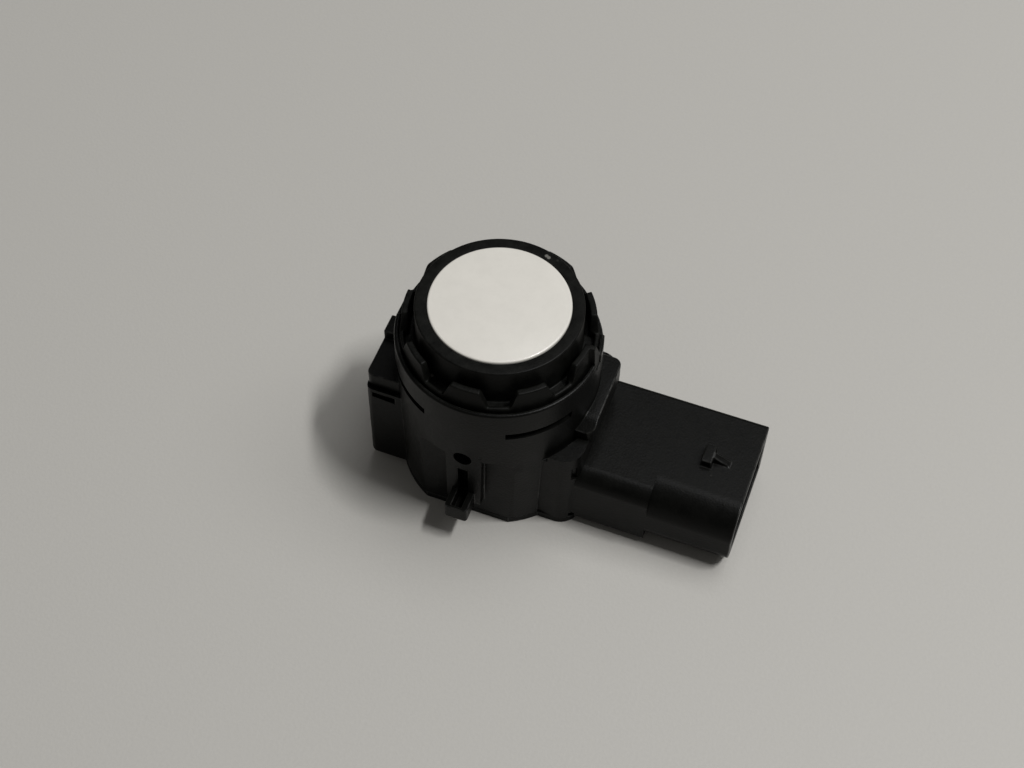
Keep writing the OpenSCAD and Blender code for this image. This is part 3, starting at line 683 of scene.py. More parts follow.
def crossings(face):
    """Where the outline of a face crosses itself or doubles back."""
    turn = face.normal.rotation_difference(Vector((0.0, 0.0, 1.0)))
    points = [v.co.copy() for v in face.verts]
    flat = [(turn @ p).to_2d() for p in points]
    count = len(flat)
    found = []
    for i in range(count):
        here, ahead = flat[i], flat[(i + 1) % count]
        back, on = flat[i - 1] - here, ahead - here
        if back.length > 0 and on.length > 0 and back.angle(on) < DOUBLED_BACK:
            found.append(points[i])
        for j in range(i + 2, count):
            if (j + 1) % count == i:
                continue
            if geometry.intersect_line_line_2d(here, ahead, flat[j], flat[(j + 1) % count]):
                found.extend((points[i], points[(i + 1) % count], points[j], points[(j + 1) % count]))
    return found


def even_faces(mesh):
    """Smooth shading over roundings, in which large flat faces stay flat."""
    mesh.shade_smooth()
    around = [[] for _ in mesh.vertices]
    for face in mesh.polygons:
        for v in face.vertices:
            around[v].append((face.normal.copy(), face.area))
    normals = []
    for face in mesh.polygons:
        own = face.normal.copy()
        for v in face.vertices:
            total = Vector()
            for normal, area in around[v]:
                if normal.dot(own) > SMOOTH_COS:
                    total += normal * area
            normals.append(total.normalized() if total.length > 0 else own)
    mesh.normals_split_custom_set(normals)


def merged_copy(node):
    """A copy of a solid's mesh with its triangles joined to whole faces."""
    bm = bmesh.new()
    bm.from_mesh(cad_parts[node].data)
    bmesh.ops.remove_doubles(bm, verts=bm.verts, dist=WELD)
    bmesh.ops.dissolve_degenerate(bm, edges=bm.edges, dist=WELD)
    bmesh.ops.dissolve_limit(
        bm, angle_limit=FLAT_ENOUGH, use_dissolve_boundaries=False, verts=bm.verts, edges=bm.edges,
    )
    bm.edges.index_update()
    return bm


def bevel(piece, rounding):
    """Rounds the edges of a piece by their weights."""
    modifier = piece.modifiers.new("rounding", "BEVEL")
    modifier.limit_method = "WEIGHT"
    modifier.width = rounding
    modifier.segments = ROUND_SEGMENTS
    modifier.use_clamp_overlap = False
    bake_modifiers(piece)


def loosen(widths, folds, reach):
    """Lowers the roundings near folds."""
    for edge in widths:
        ends = [v.co for v in edge.verts]
        for spot in folds:
            near, share = geometry.intersect_point_line(spot, *ends)
            near = ends[0] if share < 0 else ends[1] if share > 1 else near
            if (near - spot).length < reach:
                widths[edge] *= LOOSEN
                break


def rounded_piece(name, node, rounding):
    """A copy of a solid with its sharp edges rounded as far as each has room."""
    bm = merged_copy(node)
    surface = BVHTree.FromBMesh(bm)
    weight = bm.edges.layers.float.new("bevel_weight_edge")
    sharp = [e for e in bm.edges if e.is_manifold and e.calc_face_angle(0.0) > SHARP_TURN]
    known = set(sharp)
    widths = {e: min(rounding, room_beside(e, known)) for e in sharp}
    piece = new_piece(name, bpy.data.meshes.new(name))
    for _ in range(ROUNDS):
        for e in sharp:
            if widths[e] < LEAST_SHARE * rounding:
                widths[e] = 0.0
        even_out(widths)
        for e in sharp:
            e[weight] = widths[e] / rounding
        bm.to_mesh(piece.data)
        bevel(piece, rounding)
        folds = folded_places(piece.data)
        if not folds:
            break
        loosen(widths, folds, FOLD_REACH * rounding)
    bm.free()
    low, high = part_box(node)
    for v in piece.data.vertices:
        spot, _, _, gap = surface.find_nearest(v.co)
        if gap > STRAY * rounding:
            v.co = spot
        v.co = [min(max(c, low[i]), high[i]) for i, c in enumerate(v.co)]
    even_faces(piece.data)
    mark_edges(piece.data, surface, rounding)
    return piece


def soft_corners(corners, steps=5):
    """A closed outline of (r, z) points with each corner rounded by its own radius."""
    outline = []
    count = len(corners)
    for i, (r, z, rounding, tag) in enumerate(corners):
        here = Vector((r, z))
        before = Vector(corners[i - 1][:2]) - here
        after = Vector(corners[(i + 1) % count][:2]) - here
        turn = before.angle(after)
        trim = min(rounding / math.tan(turn / 2), CORNER_SHARE * before.length, CORNER_SHARE * after.length)
        if trim < TINY:
            outline.append((r, z, tag))
            continue
        start, end = here + before.normalized() * trim, here + after.normalized() * trim
        for k in range(steps + 1):
            s = k / steps
            point = start * (1 - s) ** 2 + here * 2 * s * (1 - s) + end * s ** 2
            outline.append((point.x, point.y, tag))
    return outline


def lathe(name, outline, steps, closed=True):
    """A mesh turned round the sensor's axis from (r, z, tag) points, with the tag kept on its points."""
    bm = bmesh.new()
    layer = bm.verts.layers.int.new("tag")
    rings = []
    for r, z, tag in outline:
        if r < TINY:
            pole = bm.verts.new((0.0, 0.0, z))
            pole[layer] = tag
            rings.append([pole])
            continue
        ring = []
        for k in range(steps):
            a = 2 * math.pi * k / steps
            v = bm.verts.new((r * math.cos(a), r * math.sin(a), z))
            v[layer] = tag
            ring.append(v)
        rings.append(ring)
    following = rings[1:] + rings[:1] if closed else rings[1:]
    for low, high in zip(rings, following):
        for k in range(steps):
            n = (k + 1) % steps
            if len(low) == 1 and len(high) == 1:
                continue
            if len(low) == 1:
                bm.faces.new((low[0], high[n], high[k]))
            elif len(high) == 1:
                bm.faces.new((low[k], low[n], high[0]))
            else:
                bm.faces.new((low[k], low[n], high[n], high[k]))
    bmesh.ops.recalc_face_normals(bm, faces=bm.faces)
    mesh = bpy.data.meshes.new(name)
    bm.to_mesh(mesh)
    bm.free()
    return mesh


def bake_modifiers(piece):
    """Turns what the modifiers make into the piece's own plain mesh."""
    graph = bpy.context.evaluated_depsgraph_get()
    made = bpy.data.meshes.new_from_object(
        piece.evaluated_get(graph), preserve_all_data_layers=True, depsgraph=graph,
    )
    old = piece.data
    piece.modifiers.clear()
    piece.data = made
    made.name = piece.name
    bpy.data.meshes.remove(old)


def node_piece(piece, tree, values):
    """Runs a geometry tree on a piece with its named inputs set, and keeps the result."""
    modifier = piece.modifiers.new(tree.name, "NODES")
    modifier.node_group = tree
    for item in tree.interface.items_tree:
        if item.item_type == "SOCKET" and item.in_out == "INPUT" and item.name in values:
            modifier[item.identifier] = values[item.name]
    bake_modifiers(piece)


def settle(piece, slot, *nodes, material=None):
    """Makes a finished piece ride on the sensor and stand for its solids."""
    if material is not None:
        piece.data.materials.clear()
        piece.data.materials.append(material)
    if not piece.data.polygons:
        raise RuntimeError(piece.name + " came out empty")
    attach(piece, BODY)
    if nodes:
        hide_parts(*nodes)


def dress(node, material):
    """Gives a carried solid its finish."""
    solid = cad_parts[node]
    solid.data.materials.clear()
    solid.data.materials.append(material)


def finish_of(name, make):
    """A material that is made once and shared."""
    return bpy.data.materials.get(name) or make()


# Trees that follow a rule


# Tags on the ring's points: raised with a lobe, its inner side, its outer side, pushed out with the key
LIFT, INNER, OUTER, KEYED = 1, 2, 4, 8
# How softly a lobe's foot and the key's sides begin
FOOT_OUT, FOOT_IN, KEY_FADE = 0.1 * MM, 0.3 * MM, 0.08 * MM
# Steps round one turn of the winding, and sides of its wire
TURN_STEPS, WIRE_SIDES = 36, 10


def end_tree(t, out, shape, material):
    """Ends a tree with plain geometry in its material."""
    whole = t.add("GeometryNodeRealizeInstances", {"Geometry": shape}).outputs["Geometry"]
    painted = t.add("GeometryNodeSetMaterial", {"Geometry": whole, "Material": material})
    t.fill(out["Geometry"], painted.outputs["Geometry"])
    return t.tree


def lobed_flange():
    """Raises lobes at even steps round a turned ring, and pushes its key out."""
    t, given, out = new_group(
        "lobed_flange", "GeometryNodeTree",
        [
            ("Geometry", GEOMETRY), ("Lobes", INTEGER), ("First Lobe", FLOAT), ("Radius", FLOAT),
            ("Lobe Height", FLOAT), ("Lobe Inset", FLOAT), ("Lobe Lean", FLOAT),
            ("Half Top", FLOAT), ("Half Base", FLOAT),
            ("Key Half Width", FLOAT), ("Key Reach", FLOAT), ("Material", MATERIAL),
        ],
        [("Geometry", GEOMETRY)],
    )
    position = t.nodes.new("GeometryNodeInputPosition").outputs["Position"]
    part = t.add("ShaderNodeSeparateXYZ", {"Vector": position}).outputs
    around = t.math("ARCTAN2", part["Y"], part["X"])
    step = t.math("DIVIDE", 2 * math.pi, given["Lobes"])
    turned = t.math("DIVIDE", t.math("SUBTRACT", around, given["First Lobe"]), step)
    off = t.math("ABSOLUTE", t.math("SUBTRACT", t.math("FRACT", t.math("ADD", turned, 0.5)), 0.5))
    along = t.math("MULTIPLY", t.math("MULTIPLY", off, step), given["Radius"])
    rise = t.smooth_range(along, given["Half Base"], given["Half Top"])
    foot_from = t.math("ADD", given["Half Base"], FOOT_OUT)
    foot = t.smooth_range(along, foot_from, t.math("SUBTRACT", given["Half Base"], FOOT_IN))

    def tagged(bit):
        flag = t.add("GeometryNodeInputNamedAttribute", {"Name": "tag"}, data_type="INT").outputs["Attribute"]
        shifted = t.math("FLOOR", t.math("DIVIDE", flag, float(bit)))
        return t.math("MODULO", shifted, 2.0)

    key_side = t.math("MULTIPLY", t.math("ABSOLUTE", around), given["Radius"])
    key = t.smooth_range(key_side, t.math("ADD", given["Key Half Width"], KEY_FADE), given["Key Half Width"])
    inward = t.math("MULTIPLY", t.math("MULTIPLY", tagged(INNER), foot), given["Lobe Inset"])
    lean = t.math("MULTIPLY", t.math("MULTIPLY", tagged(OUTER), rise), given["Lobe Lean"])
    outward = t.math("MULTIPLY", t.math("MULTIPLY", tagged(KEYED), key), given["Key Reach"])
    radial = t.math("SUBTRACT", outward, t.math("ADD", inward, lean))
    lift = t.math("MULTIPLY", t.math("MULTIPLY", tagged(LIFT), rise), given["Lobe Height"])
    offset = t.add(
        "ShaderNodeCombineXYZ",
        {
            "X": t.math("MULTIPLY", t.math("COSINE", around), radial),
            "Y": t.math("MULTIPLY", t.math("SINE", around), radial),
            "Z": lift,
        },
    ).outputs["Vector"]
    moved = t.add("GeometryNodeSetPosition", {"Geometry": given["Geometry"], "Offset": offset})
    return end_tree(t, out, moved.outputs["Geometry"], given["Material"])


def wound_coil():
    """Turns of round wire on the transformer's drum, over a plain sleeve of the turns below."""
    t, given, out = new_group(
        "wound_coil", "GeometryNodeTree",
        [
            ("Geometry", GEOMETRY), ("Turns", FLOAT), ("Radius", FLOAT), ("Height", FLOAT),
            ("Wire Radius", FLOAT), ("Centre", VECTOR), ("Material", MATERIAL),
        ],
        [("Geometry", GEOMETRY)],
    )
    spiral = t.add(
        "GeometryNodeCurveSpiral",
        {
            "Resolution": TURN_STEPS, "Rotations": given["Turns"], "Start Radius": given["Radius"],
            "End Radius": given["Radius"], "Height": given["Height"],
        },
    ).outputs["Curve"]
    section = t.add(
        "GeometryNodeCurvePrimitiveCircle", {"Resolution": WIRE_SIDES, "Radius": given["Wire Radius"]},
    ).outputs["Curve"]
    wire = t.add(
        "GeometryNodeCurveToMesh", {"Curve": spiral, "Profile Curve": section, "Fill Caps": True},
    ).outputs["Mesh"]
    placed = t.add("GeometryNodeTransform", {"Geometry": wire, "Translation": given["Centre"]})
    both = t.nodes.new("GeometryNodeJoinGeometry")
    t.tree.links.new(given["Geometry"], both.inputs[0])
    t.tree.links.new(placed.outputs["Geometry"], both.inputs[0])
    return end_tree(t, out, both.outputs[0], given["Material"])


def copies_on_points():
    """Copies of one small shape on the points of a mesh, each turned by the point's own angle."""
    t, given, out = new_group(
        "copies_on_points", "GeometryNodeTree",
        [("Geometry", GEOMETRY), ("Shape", "NodeSocketObject"), ("Material", MATERIAL)],
        [("Geometry", GEOMETRY)],
    )
    shape = t.add("GeometryNodeObjectInfo", {"Object": given["Shape"]}).outputs["Geometry"]
    spin = t.add("GeometryNodeInputNamedAttribute", {"Name": "spin"}, data_type="FLOAT").outputs["Attribute"]
    turn = t.add("ShaderNodeCombineXYZ", {"Z": spin}).outputs["Vector"]
    copies = t.add(
        "GeometryNodeInstanceOnPoints", {"Points": given["Geometry"], "Instance": shape, "Rotation": turn},
    ).outputs["Instances"]
    return end_tree(t, out, copies, given["Material"])


# Operators

# Steps round a turned piece
RING_STEPS, CUP_STEPS, SLEEVE_STEPS, SOLDER_STEPS = 720, 256, 96, 28
# Edges that stay sharp on turned pieces and on small copies, in degrees
TURNED_SHARP, SMALL_SHARP = 40.0, 50.0
# Inner corners of turned pieces are this much finer, and the key's underside this soft
FINE_SHARE, KEY_EDGE = 0.4, 0.05 * MM
# Edge rounding of the parts on the board
CASE_ROUND, BLOCK_ROUND, CAN_ROUND = 0.08 * MM, 0.12 * MM, 0.14 * MM
# Solder joint: its bore, its wall at the waist and the top, its waist, its soft corners and their steps
SOLDER_BORE, WAIST_WALL, TOP_WALL, WAIST_SHARE = 0.46 * MM, 0.07 * MM, 0.02 * MM, 0.45
SOLDER_FOOT_SOFT, SOLDER_WAIST_SOFT, SOLDER_SOFT_STEPS = 0.02 * MM, 0.2 * MM, 4
# Chip lead: its thickness, its shoulder's share of the case's height, its bend and its foot's height
LEAD_THICK, SHOULDER_SHARE, LEAD_BEND, LEAD_FOOT = 0.09 * MM, 0.5, 0.1 * MM, 0.02 * MM
# Chip lead: distances of its turns from the case
LEAD_ROOT, LEAD_SHOULDER = 0.01 * MM, 0.16 * MM
LEAD_ANKLE, LEAD_HEEL, LEAD_TOE = 0.3 * MM, 0.42 * MM, 0.62 * MM

TERMINALS = ("terminal_pin_1", "terminal_pin_2", "terminal_pin_3")


class SENSOR_OT_housing(bpy.types.Operator):
    """Rounds the moulded housing and gives it its grain"""

    bl_idname = "sensor.housing"
    bl_label = "Housing"

    def execute(self, context):
        sizes, colours, _ = settings()
        plastic = finish_of("satin_housing", lambda: moulded_plastic(
            "satin_housing", tuple(colours.housing),
            roughness=0.36, wear_and_highlight_amount=0.75, film=0.01, pinholes=PINHOLES,
        ))
        piece = rounded_piece("moulded_housing", "housing", sizes.housing_round)
        settle(piece, "housing_plastic", "housing", material=plastic)
        return {"FINISHED"}


class SENSOR_OT_rear_cover(bpy.types.Operator):
    """Rounds the rear cover and gives it its grain"""

    bl_idname = "sensor.rear_cover"
    bl_label = "Rear cover"

    def execute(self, context):
        sizes, colours, _ = settings()
        plastic = finish_of("satin_cover", lambda: moulded_plastic(
            "satin_cover", tuple(colours.cover), roughness=0.5, wear_and_highlight_amount=0.6, film=0.0,
        ))
        piece = rounded_piece("closing_cover", "rear_cover", sizes.cover_round)
        settle(piece, "cover_plastic", "rear_cover", material=plastic)
        return {"FINISHED"}


class SENSOR_OT_ring(bpy.types.Operator):
    """Turns the soft ring and raises its lobes"""

    bl_idname = "sensor.ring"
    bl_label = "Soft ring"

    def execute(self, context):
        s, _, _ = settings()
        cup_r = CUP_HIGH.y
        bore, lip = cup_r + s.ring_fit, cup_r - s.ring_lip_width
        top_r, top_z, low_z = cup_r + s.ring_top_width, RING_HIGH.z, RING_LOW.z
        edge_in = s.flange_radius - s.flange_edge
        soft, fine = s.ring_round, s.ring_round * FINE_SHARE
        corners = [
            (lip, low_z, fine, 0),
            (s.sleeve_radius, low_z, fine, 0),
            (s.sleeve_radius, s.flange_seat, fine, 0),
            (s.flange_radius, s.flange_seat, fine, 0),
            (s.flange_radius, s.key_height - KEY_EDGE, 0.0, 0),
            (s.flange_radius, s.key_height + KEY_EDGE, 0.0, KEYED),
            (s.flange_radius, s.flange_top, soft, LIFT + OUTER + KEYED),
            (edge_in, s.flange_top, soft, LIFT + INNER),
            (edge_in, s.groove_height, soft, INNER),
            (top_r, s.groove_height, soft, 0),
            (top_r, top_z, soft, 0),
            (bore, top_z, fine, 0),
            (bore, CUP_LOW.z, fine, 0),
            (lip, CUP_LOW.z, fine, 0),
        ]
        piece = new_piece("lobed_soft_ring", lathe("lobed_soft_ring", soft_corners(corners), RING_STEPS))
        node_piece(piece, lobed_flange(), {
            "Lobes": s.lobe_count, "First Lobe": s.lobe_start, "Radius": s.flange_radius,
            "Lobe Height": s.lobe_height, "Lobe Inset": s.lobe_width + s.lobe_lean - s.flange_edge,
            "Lobe Lean": s.lobe_lean, "Half Top": s.lobe_top_len / 2, "Half Base": s.lobe_base_len / 2,
            "Key Half Width": s.key_width / 2, "Key Reach": s.key_reach,
            "Material": finish_of("soft_silicone", soft_silicone),
        })
        shade(piece.data, TURNED_SHARP)
        settle(piece, "silicone", "decoupling_ring")
        return {"FINISHED"}


class SENSOR_OT_face(bpy.types.Operator):
    """Turns the membrane cup with its painted face"""

    bl_idname = "sensor.face"
    bl_label = "Painted face"

    def execute(self, context):
        s, _, _ = settings()
        r, low, high = CUP_HIGH.y, CUP_LOW.z, CUP_HIGH.z
        fine = s.face_round * FINE_SHARE
        corners = [
            (0.0, high, 0.0, 0), (r, high, s.face_round, 0),
            (r, low, fine, 0), (r - s.cup_wall, low, fine, 0),
            (r - s.cup_wall, high - s.membrane, fine, 0), (0.0, high - s.membrane, 0.0, 0),
        ]
        piece = new_piece("painted_cup", lathe("painted_cup", soft_corners(corners), CUP_STEPS, closed=False))
        shade(piece.data, TURNED_SHARP)
        settle(piece, "painted_face", "membrane_cup", material=finish_of("white_paint", white_paint))
        return {"FINISHED"}


class SENSOR_OT_terminals(bpy.types.Operator):
    """Rounds and plates the three terminal pins"""

    bl_idname = "sensor.terminals"
    bl_label = "Terminal pins"

    def execute(self, context):
        s, colours, _ = settings()
        plated = finish_of("plated_pin", lambda: worked_metal(
            "plated_pin", tuple(colours.terminal), roughness=0.28, stretch=(0.15, 1.0, 1.0),
        ))
        for i, node in enumerate(TERMINALS, 1):
            piece = rounded_piece(f"plated_pin_{i}", node, s.pin_round)
            settle(piece, "terminal_metal", node, material=plated)
        return {"FINISHED"}


class SENSOR_OT_transducer(bpy.types.Operator):
    """Dresses the pieces inside the cup: piezo disc, foam, carrier, contact pins and leads"""

    bl_idname = "sensor.transducer"
    bl_label = "Transducer"

    def execute(self, context):
        _, colours, _ = settings()
        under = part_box("piezo_disc")[0].z
        dress("piezo_disc", fired_ceramic(
            "silvered_piezo", tuple(colours.ceramic), tuple(colours.silver),
            under + SILVER_TOP, under + SILVER_LOW, "Z",
        ))
        dress("damping_pad", open_foam())
        dress("contact_carrier", bpy.data.materials["satin_cover"])
        tin = finish_of("tinned_wire", lambda: worked_metal(
            "tinned_wire", tuple(colours.tin), roughness=0.34, stretch=(1.0, 1.0, 0.15),
        ))
        copper = finish_of("enamelled_copper", lambda: worked_metal(
            "enamelled_copper", tuple(colours.copper), roughness=0.3, stretch=(1.0, 1.0, 0.2),
        ))
        for side in ("signal", "ground"):
            dress("contact_pin_" + side, tin)
            dress("lead_wire_" + side, copper)
        return {"FINISHED"}


class SENSOR_OT_transformer(bpy.types.Operator):
    """Winds the transformer and dresses its drum and base"""

    bl_idname = "sensor.transformer"
    bl_label = "Transformer"

    def execute(self, context):
        s, colours, _ = settings()
        low, high = WINDING_LOW, WINDING_HIGH
        centre = (low + high) / 2
        outer = (high.y - low.y) / 2
        height = high.z - low.z
        wire = height / (2 * (s.winding_turns + 1))
        corners = [
            (s.winding_bore, low.z, 0.0, 0), (outer - wire, low.z, 0.0, 0),
            (outer - wire, high.z, 0.0, 0), (s.winding_bore, high.z, 0.0, 0),
        ]
        sleeve = lathe("wound_copper", soft_corners(corners), SLEEVE_STEPS)
        sleeve.transform(Matrix.Translation((centre.x, centre.y, 0.0)))
        piece = new_piece("wound_copper", sleeve)
        node_piece(piece, wound_coil(), {
            "Turns": float(s.winding_turns), "Radius": outer - wire, "Height": height - 2 * wire,
            "Wire Radius": wire, "Centre": (centre.x, centre.y, low.z + wire),
            "Material": bpy.data.materials["enamelled_copper"],
        })
        shade(piece.data, TURNED_SHARP)
        settle(piece, "copper", "transformer_winding")
        ferrite = finish_of("sintered_ferrite", lambda: moulded_plastic(
            "sintered_ferrite", tuple(colours.ferrite), roughness=0.42, wear_and_highlight_amount=0.0, film=0.0,
        ))
        dress("transformer_core", ferrite)
        dress("transformer_base", bpy.data.materials["satin_cover"])
        return {"FINISHED"}


class SENSOR_OT_board(bpy.types.Operator):
    """Dresses the board and its parts, and adds solder joints and chip leads"""

    bl_idname = "sensor.board"
    bl_label = "Board and parts"

    def execute(self, context):
        s, colours, _ = settings()
        dress("circuit_board", solder_mask())
        tin = bpy.data.materials["tinned_wire"]
        case = finish_of("chip_case", lambda: moulded_plastic(
            "chip_case", tuple(colours.chip), roughness=0.5, wear_and_highlight_amount=0.0, film=0.0,
        ))
        for node in ("control_chip", "supply_diode", "bus_resistor"):
            piece = rounded_piece(node + "_case", node, CASE_ROUND)
            settle(piece, "chip_plastic", node, material=case)
        for node in ("storage_capacitor", "filter_capacitor_1", "filter_capacitor_2"):
            low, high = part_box(node)
            middle, half = (low.x + high.x) / 2, (high.x - low.x) / 2
            piece = rounded_piece(node + "_block", node, BLOCK_ROUND)
            banded = banded_ceramic(node + "_ceramic", middle, half - s.end_band)
            settle(piece, "ceramic", node, material=banded)
        piece = rounded_piece("timing_crystal_can", "timing_crystal", CAN_ROUND)
        settle(piece, "tinned_metal", "timing_crystal", material=tin)
        self.solder_joints(s, tin)
        self.chip_leads(s, tin)
        return {"FINISHED"}

    def solder_joints(self, s, tin):
        """Cones of solder where the contact and terminal pins pass the board."""
        points = []
        for node in ("contact_pin_signal", "contact_pin_ground"):
            low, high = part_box(node)
            points.append(((low.x + high.x) / 2, (low.y + high.y) / 2, BOARD_HIGH.z))
        for node in TERMINALS:
            low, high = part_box(node)
            points.append((low.x + (high.y - low.y) / 2, (low.y + high.y) / 2, BOARD_HIGH.z))
        corners = [
            (SOLDER_BORE, 0.0, 0.0, 0),
            (s.solder_radius, 0.0, SOLDER_FOOT_SOFT, 0),
            (SOLDER_BORE + WAIST_WALL, s.solder_height * WAIST_SHARE, SOLDER_WAIST_SOFT, 0),
            (SOLDER_BORE + TOP_WALL, s.solder_height, 0.0, 0),
            (SOLDER_BORE, s.solder_height, 0.0, 0),
        ]
        outline = soft_corners(corners, SOLDER_SOFT_STEPS)
        shape = new_piece("solder_shape", lathe("solder_shape", outline, SOLDER_STEPS))
        self.scatter("solder_joints", points, [0.0] * len(points), shape, tin, "tinned_metal")

    def chip_leads(self, s, tin):
        """Bent leads along two sides of the chip."""
        low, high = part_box("control_chip")
        centre = (low + high) / 2
        points, spins = [], []
        for side in (-1, 1):
            for k in range(s.chip_leads):
                y = centre.y + (k - (s.chip_leads - 1) / 2) * s.chip_lead_pitch
                points.append((centre.x + side * (high.x - low.x) / 2, y, low.z))
                spins.append(0.0 if side > 0 else math.pi)
        half = s.chip_lead_width / 2
        rise = (high.z - low.z) * SHOULDER_SHARE
        path = [
            (LEAD_ROOT, rise), (LEAD_SHOULDER, rise), (LEAD_SHOULDER + LEAD_BEND, rise - LEAD_BEND),
            (LEAD_ANKLE, LEAD_BEND), (LEAD_HEEL, LEAD_FOOT), (LEAD_TOE, LEAD_FOOT),
        ]
        bm = bmesh.new()
        rows = []
        for i, (x, z) in enumerate(path):
            before = Vector(path[max(0, i - 1)])
            after = Vector(path[min(len(path) - 1, i + 1)])
            along = (after - before).normalized()
            up = Vector((-along.y, along.x)) * LEAD_THICK
            rows.append([
                bm.verts.new((x, -half, z)), bm.verts.new((x, half, z)),
                bm.verts.new((x + up.x, half, z + up.y)), bm.verts.new((x + up.x, -half, z + up.y)),
            ])
        for a, b in zip(rows, rows[1:]):
            for k in range(4):
                n = (k + 1) % 4
                bm.faces.new((a[k], a[n], b[n], b[k]))
        bm.faces.new(rows[0])
        bm.faces.new(rows[-1])
        bmesh.ops.recalc_face_normals(bm, faces=bm.faces)
        mesh = bpy.data.meshes.new("lead_shape")
        bm.to_mesh(mesh)
        bm.free()
        self.scatter("chip_leads", points, spins, new_piece("lead_shape", mesh), tin, "tinned_metal")

    def scatter(self, name, points, spins, shape, material, slot):
        """One piece of copies of a shape, and the shape itself removed."""
        mesh = bpy.data.meshes.new(name)
        mesh.from_pydata(points, [], [])
        spin = mesh.attributes.new("spin", "FLOAT", "POINT")
        spin.data.foreach_set("value", spins)
        piece = new_piece(name, mesh)
        tree = bpy.data.node_groups.get("copies_on_points") or copies_on_points()
        node_piece(piece, tree, {"Shape": shape, "Material": material})
        bpy.data.objects.remove(shape)
        shade(piece.data, SMALL_SHARP)
        settle(piece, slot)


# Lamps: place, size and turn
KEY_PLACE, KEY_SIZE, KEY_TURN = (0.528, 0.055, 1.1), (0.07, 0.3), math.radians(17.0)
SOFT_PLACE, SOFT_SIZE, SOFT_TURN = (0.495, 0.385, 1.1), (1.32, 0.55), 0.0
SKY_TONE = (1.0, 0.985, 0.955, 1.0)
FLOOR_Z = -0.02 * MM
# Camera: place, angles, its film's width in millimetres, and the nearest and farthest sight
CAMERA_PLACE = Vector((0.038593, -0.106300, 0.174419))
CAMERA_AZIMUTH, CAMERA_ELEVATION = math.radians(19.178), math.radians(55.136)
CAMERA_ROLL = math.radians(1.475)
FILM_WIDTH, CLIP = 36.0, (0.005, 20.0)


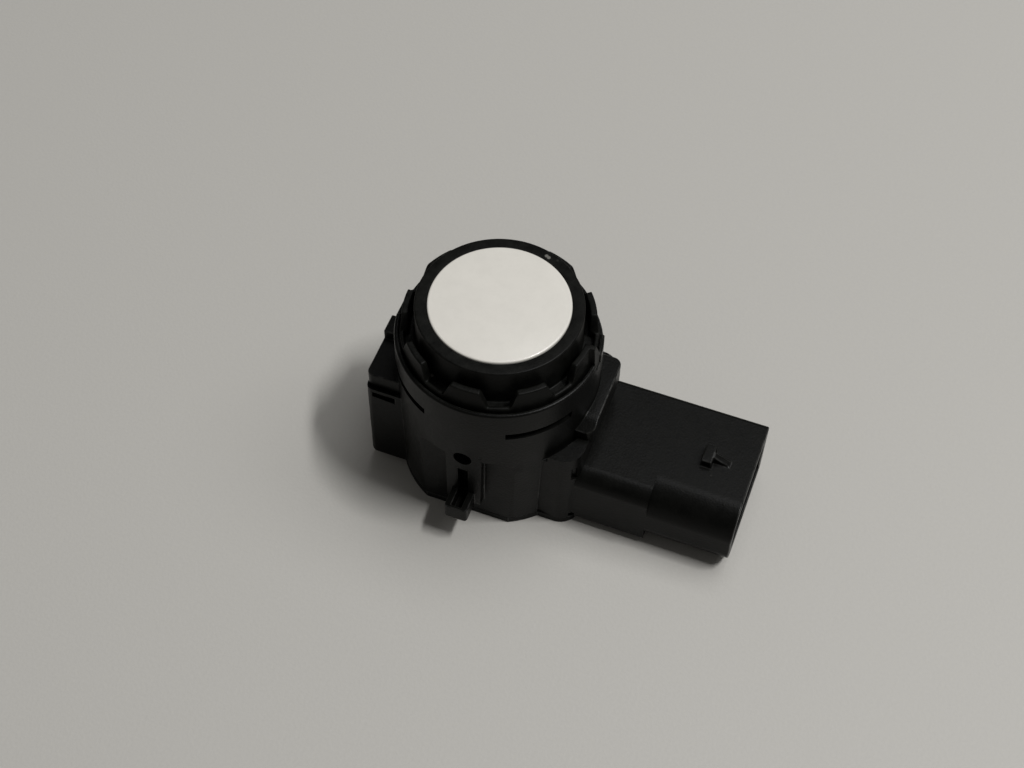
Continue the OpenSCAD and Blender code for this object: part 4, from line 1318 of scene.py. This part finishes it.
class SENSOR_OT_stage(bpy.types.Operator):
    """Lays the floor, hangs the lamps and sets the camera"""

    bl_idname = "sensor.stage"
    bl_label = "Stage"

    def execute(self, context):
        _, colours, stage = settings()
        scene = context.scene
        scene.view_settings.view_transform = "Standard"
        self.floor(stage, tuple(colours.floor))
        self.lamp("key_lamp", stage.key_power, KEY_SIZE, KEY_PLACE, KEY_TURN)
        self.lamp("soft_lamp", stage.soft_power, SOFT_SIZE, SOFT_PLACE, SOFT_TURN)
        world = bpy.data.worlds.new("even_light")
        world.use_nodes = True
        sky = world.node_tree.nodes["Background"]
        sky.inputs["Color"].default_value = SKY_TONE
        sky.inputs["Strength"].default_value = stage.sky
        scene.world = world
        camera = bpy.data.objects.new("photo_camera", bpy.data.cameras.new("photo_camera"))
        scene.collection.objects.link(camera)
        camera.data.lens = stage.lens
        camera.data.sensor_width = FILM_WIDTH
        camera.data.sensor_fit = "HORIZONTAL"
        camera.data.clip_start, camera.data.clip_end = CLIP
        tilted = Matrix.Rotation(math.pi / 2 - CAMERA_ELEVATION, 4, "X")
        turned = Matrix.Rotation(CAMERA_AZIMUTH, 4, "Z") @ tilted @ Matrix.Rotation(CAMERA_ROLL, 4, "Z")
        camera.matrix_world = Matrix.Translation(CAMERA_PLACE) @ turned
        scene.camera = camera
        return {"FINISHED"}

    def floor(self, stage, base):
        """A pale matt floor with a faint tooth."""
        half = stage.floor_size / 2
        mesh = bpy.data.meshes.new("pale_floor")
        corners = [(-half, -half), (half, -half), (half, half), (-half, half)]
        mesh.from_pydata([(x, y, FLOOR_Z) for x, y in corners], [], [(0, 1, 2, 3)])
        floor = new_piece("pale_floor", mesh)
        material, t, shader, coords = blank("pale_floor")
        tooth = t.noise(coords, 2600.0, detail=1.0)
        tone = t.mix(tooth, toned(base, 0.97), toned(base, 1.03))
        t.fill(shader.inputs["Base Color"], tone)
        shader.inputs["Roughness"].default_value = 0.6
        bump(t, shader, tooth, distance=0.03 * MM, strength=0.5)
        mesh.materials.append(material)

    def lamp(self, name, power, size, at, turn):
        """A flat lamp that shines straight down."""
        data = bpy.data.lights.new(name, "AREA")
        data.energy = power
        data.shape = "RECTANGLE"
        data.size, data.size_y = size
        lamp = bpy.data.objects.new(name, data)
        bpy.context.scene.collection.objects.link(lamp)
        lamp.location = at
        lamp.rotation_euler.z = turn


STEPS = [
    SENSOR_OT_housing, SENSOR_OT_rear_cover, SENSOR_OT_ring, SENSOR_OT_face, SENSOR_OT_terminals,
    SENSOR_OT_transducer, SENSOR_OT_transformer, SENSOR_OT_board, SENSOR_OT_stage,
]


class SENSOR_PT_panel(bpy.types.Panel):
    """Lists the sensor's steps and values"""

    bl_idname = "SENSOR_PT_panel"
    bl_label = "Parking sensor"
    bl_space_type = "VIEW_3D"
    bl_region_type = "UI"
    bl_category = "Sensor"

    def draw(self, context):
        column = self.layout.column()
        for step in STEPS:
            column.operator(step.bl_idname)
        for group in (context.scene.sensor_sizes, context.scene.sensor_colours, context.scene.sensor_stage):
            box = self.layout.box()
            for name in group.__annotations__:
                box.prop(group, name)


GROUPS = [("sensor_sizes", SensorSizes), ("sensor_colours", SensorColours), ("sensor_stage", SensorStage)]


def register():
    """Adds the values, the steps and the panel."""
    for name, group in GROUPS:
        bpy.utils.register_class(group)
        setattr(bpy.types.Scene, name, bpy.props.PointerProperty(type=group))
    for step in STEPS + [SENSOR_PT_panel]:
        bpy.utils.register_class(step)


def unregister():
    """Takes them away again."""
    for step in reversed(STEPS + [SENSOR_PT_panel]):
        bpy.utils.unregister_class(step)
    for name, group in reversed(GROUPS):
        delattr(bpy.types.Scene, name)
        bpy.utils.unregister_class(group)


def main():
    """Runs every step in order."""
    register()
    bpy.ops.sensor.housing()
    bpy.ops.sensor.rear_cover()
    bpy.ops.sensor.ring()
    bpy.ops.sensor.face()
    bpy.ops.sensor.terminals()
    bpy.ops.sensor.transducer()
    bpy.ops.sensor.transformer()
    bpy.ops.sensor.board()
    bpy.ops.sensor.stage()


if __name__ == "__main__":
    main()
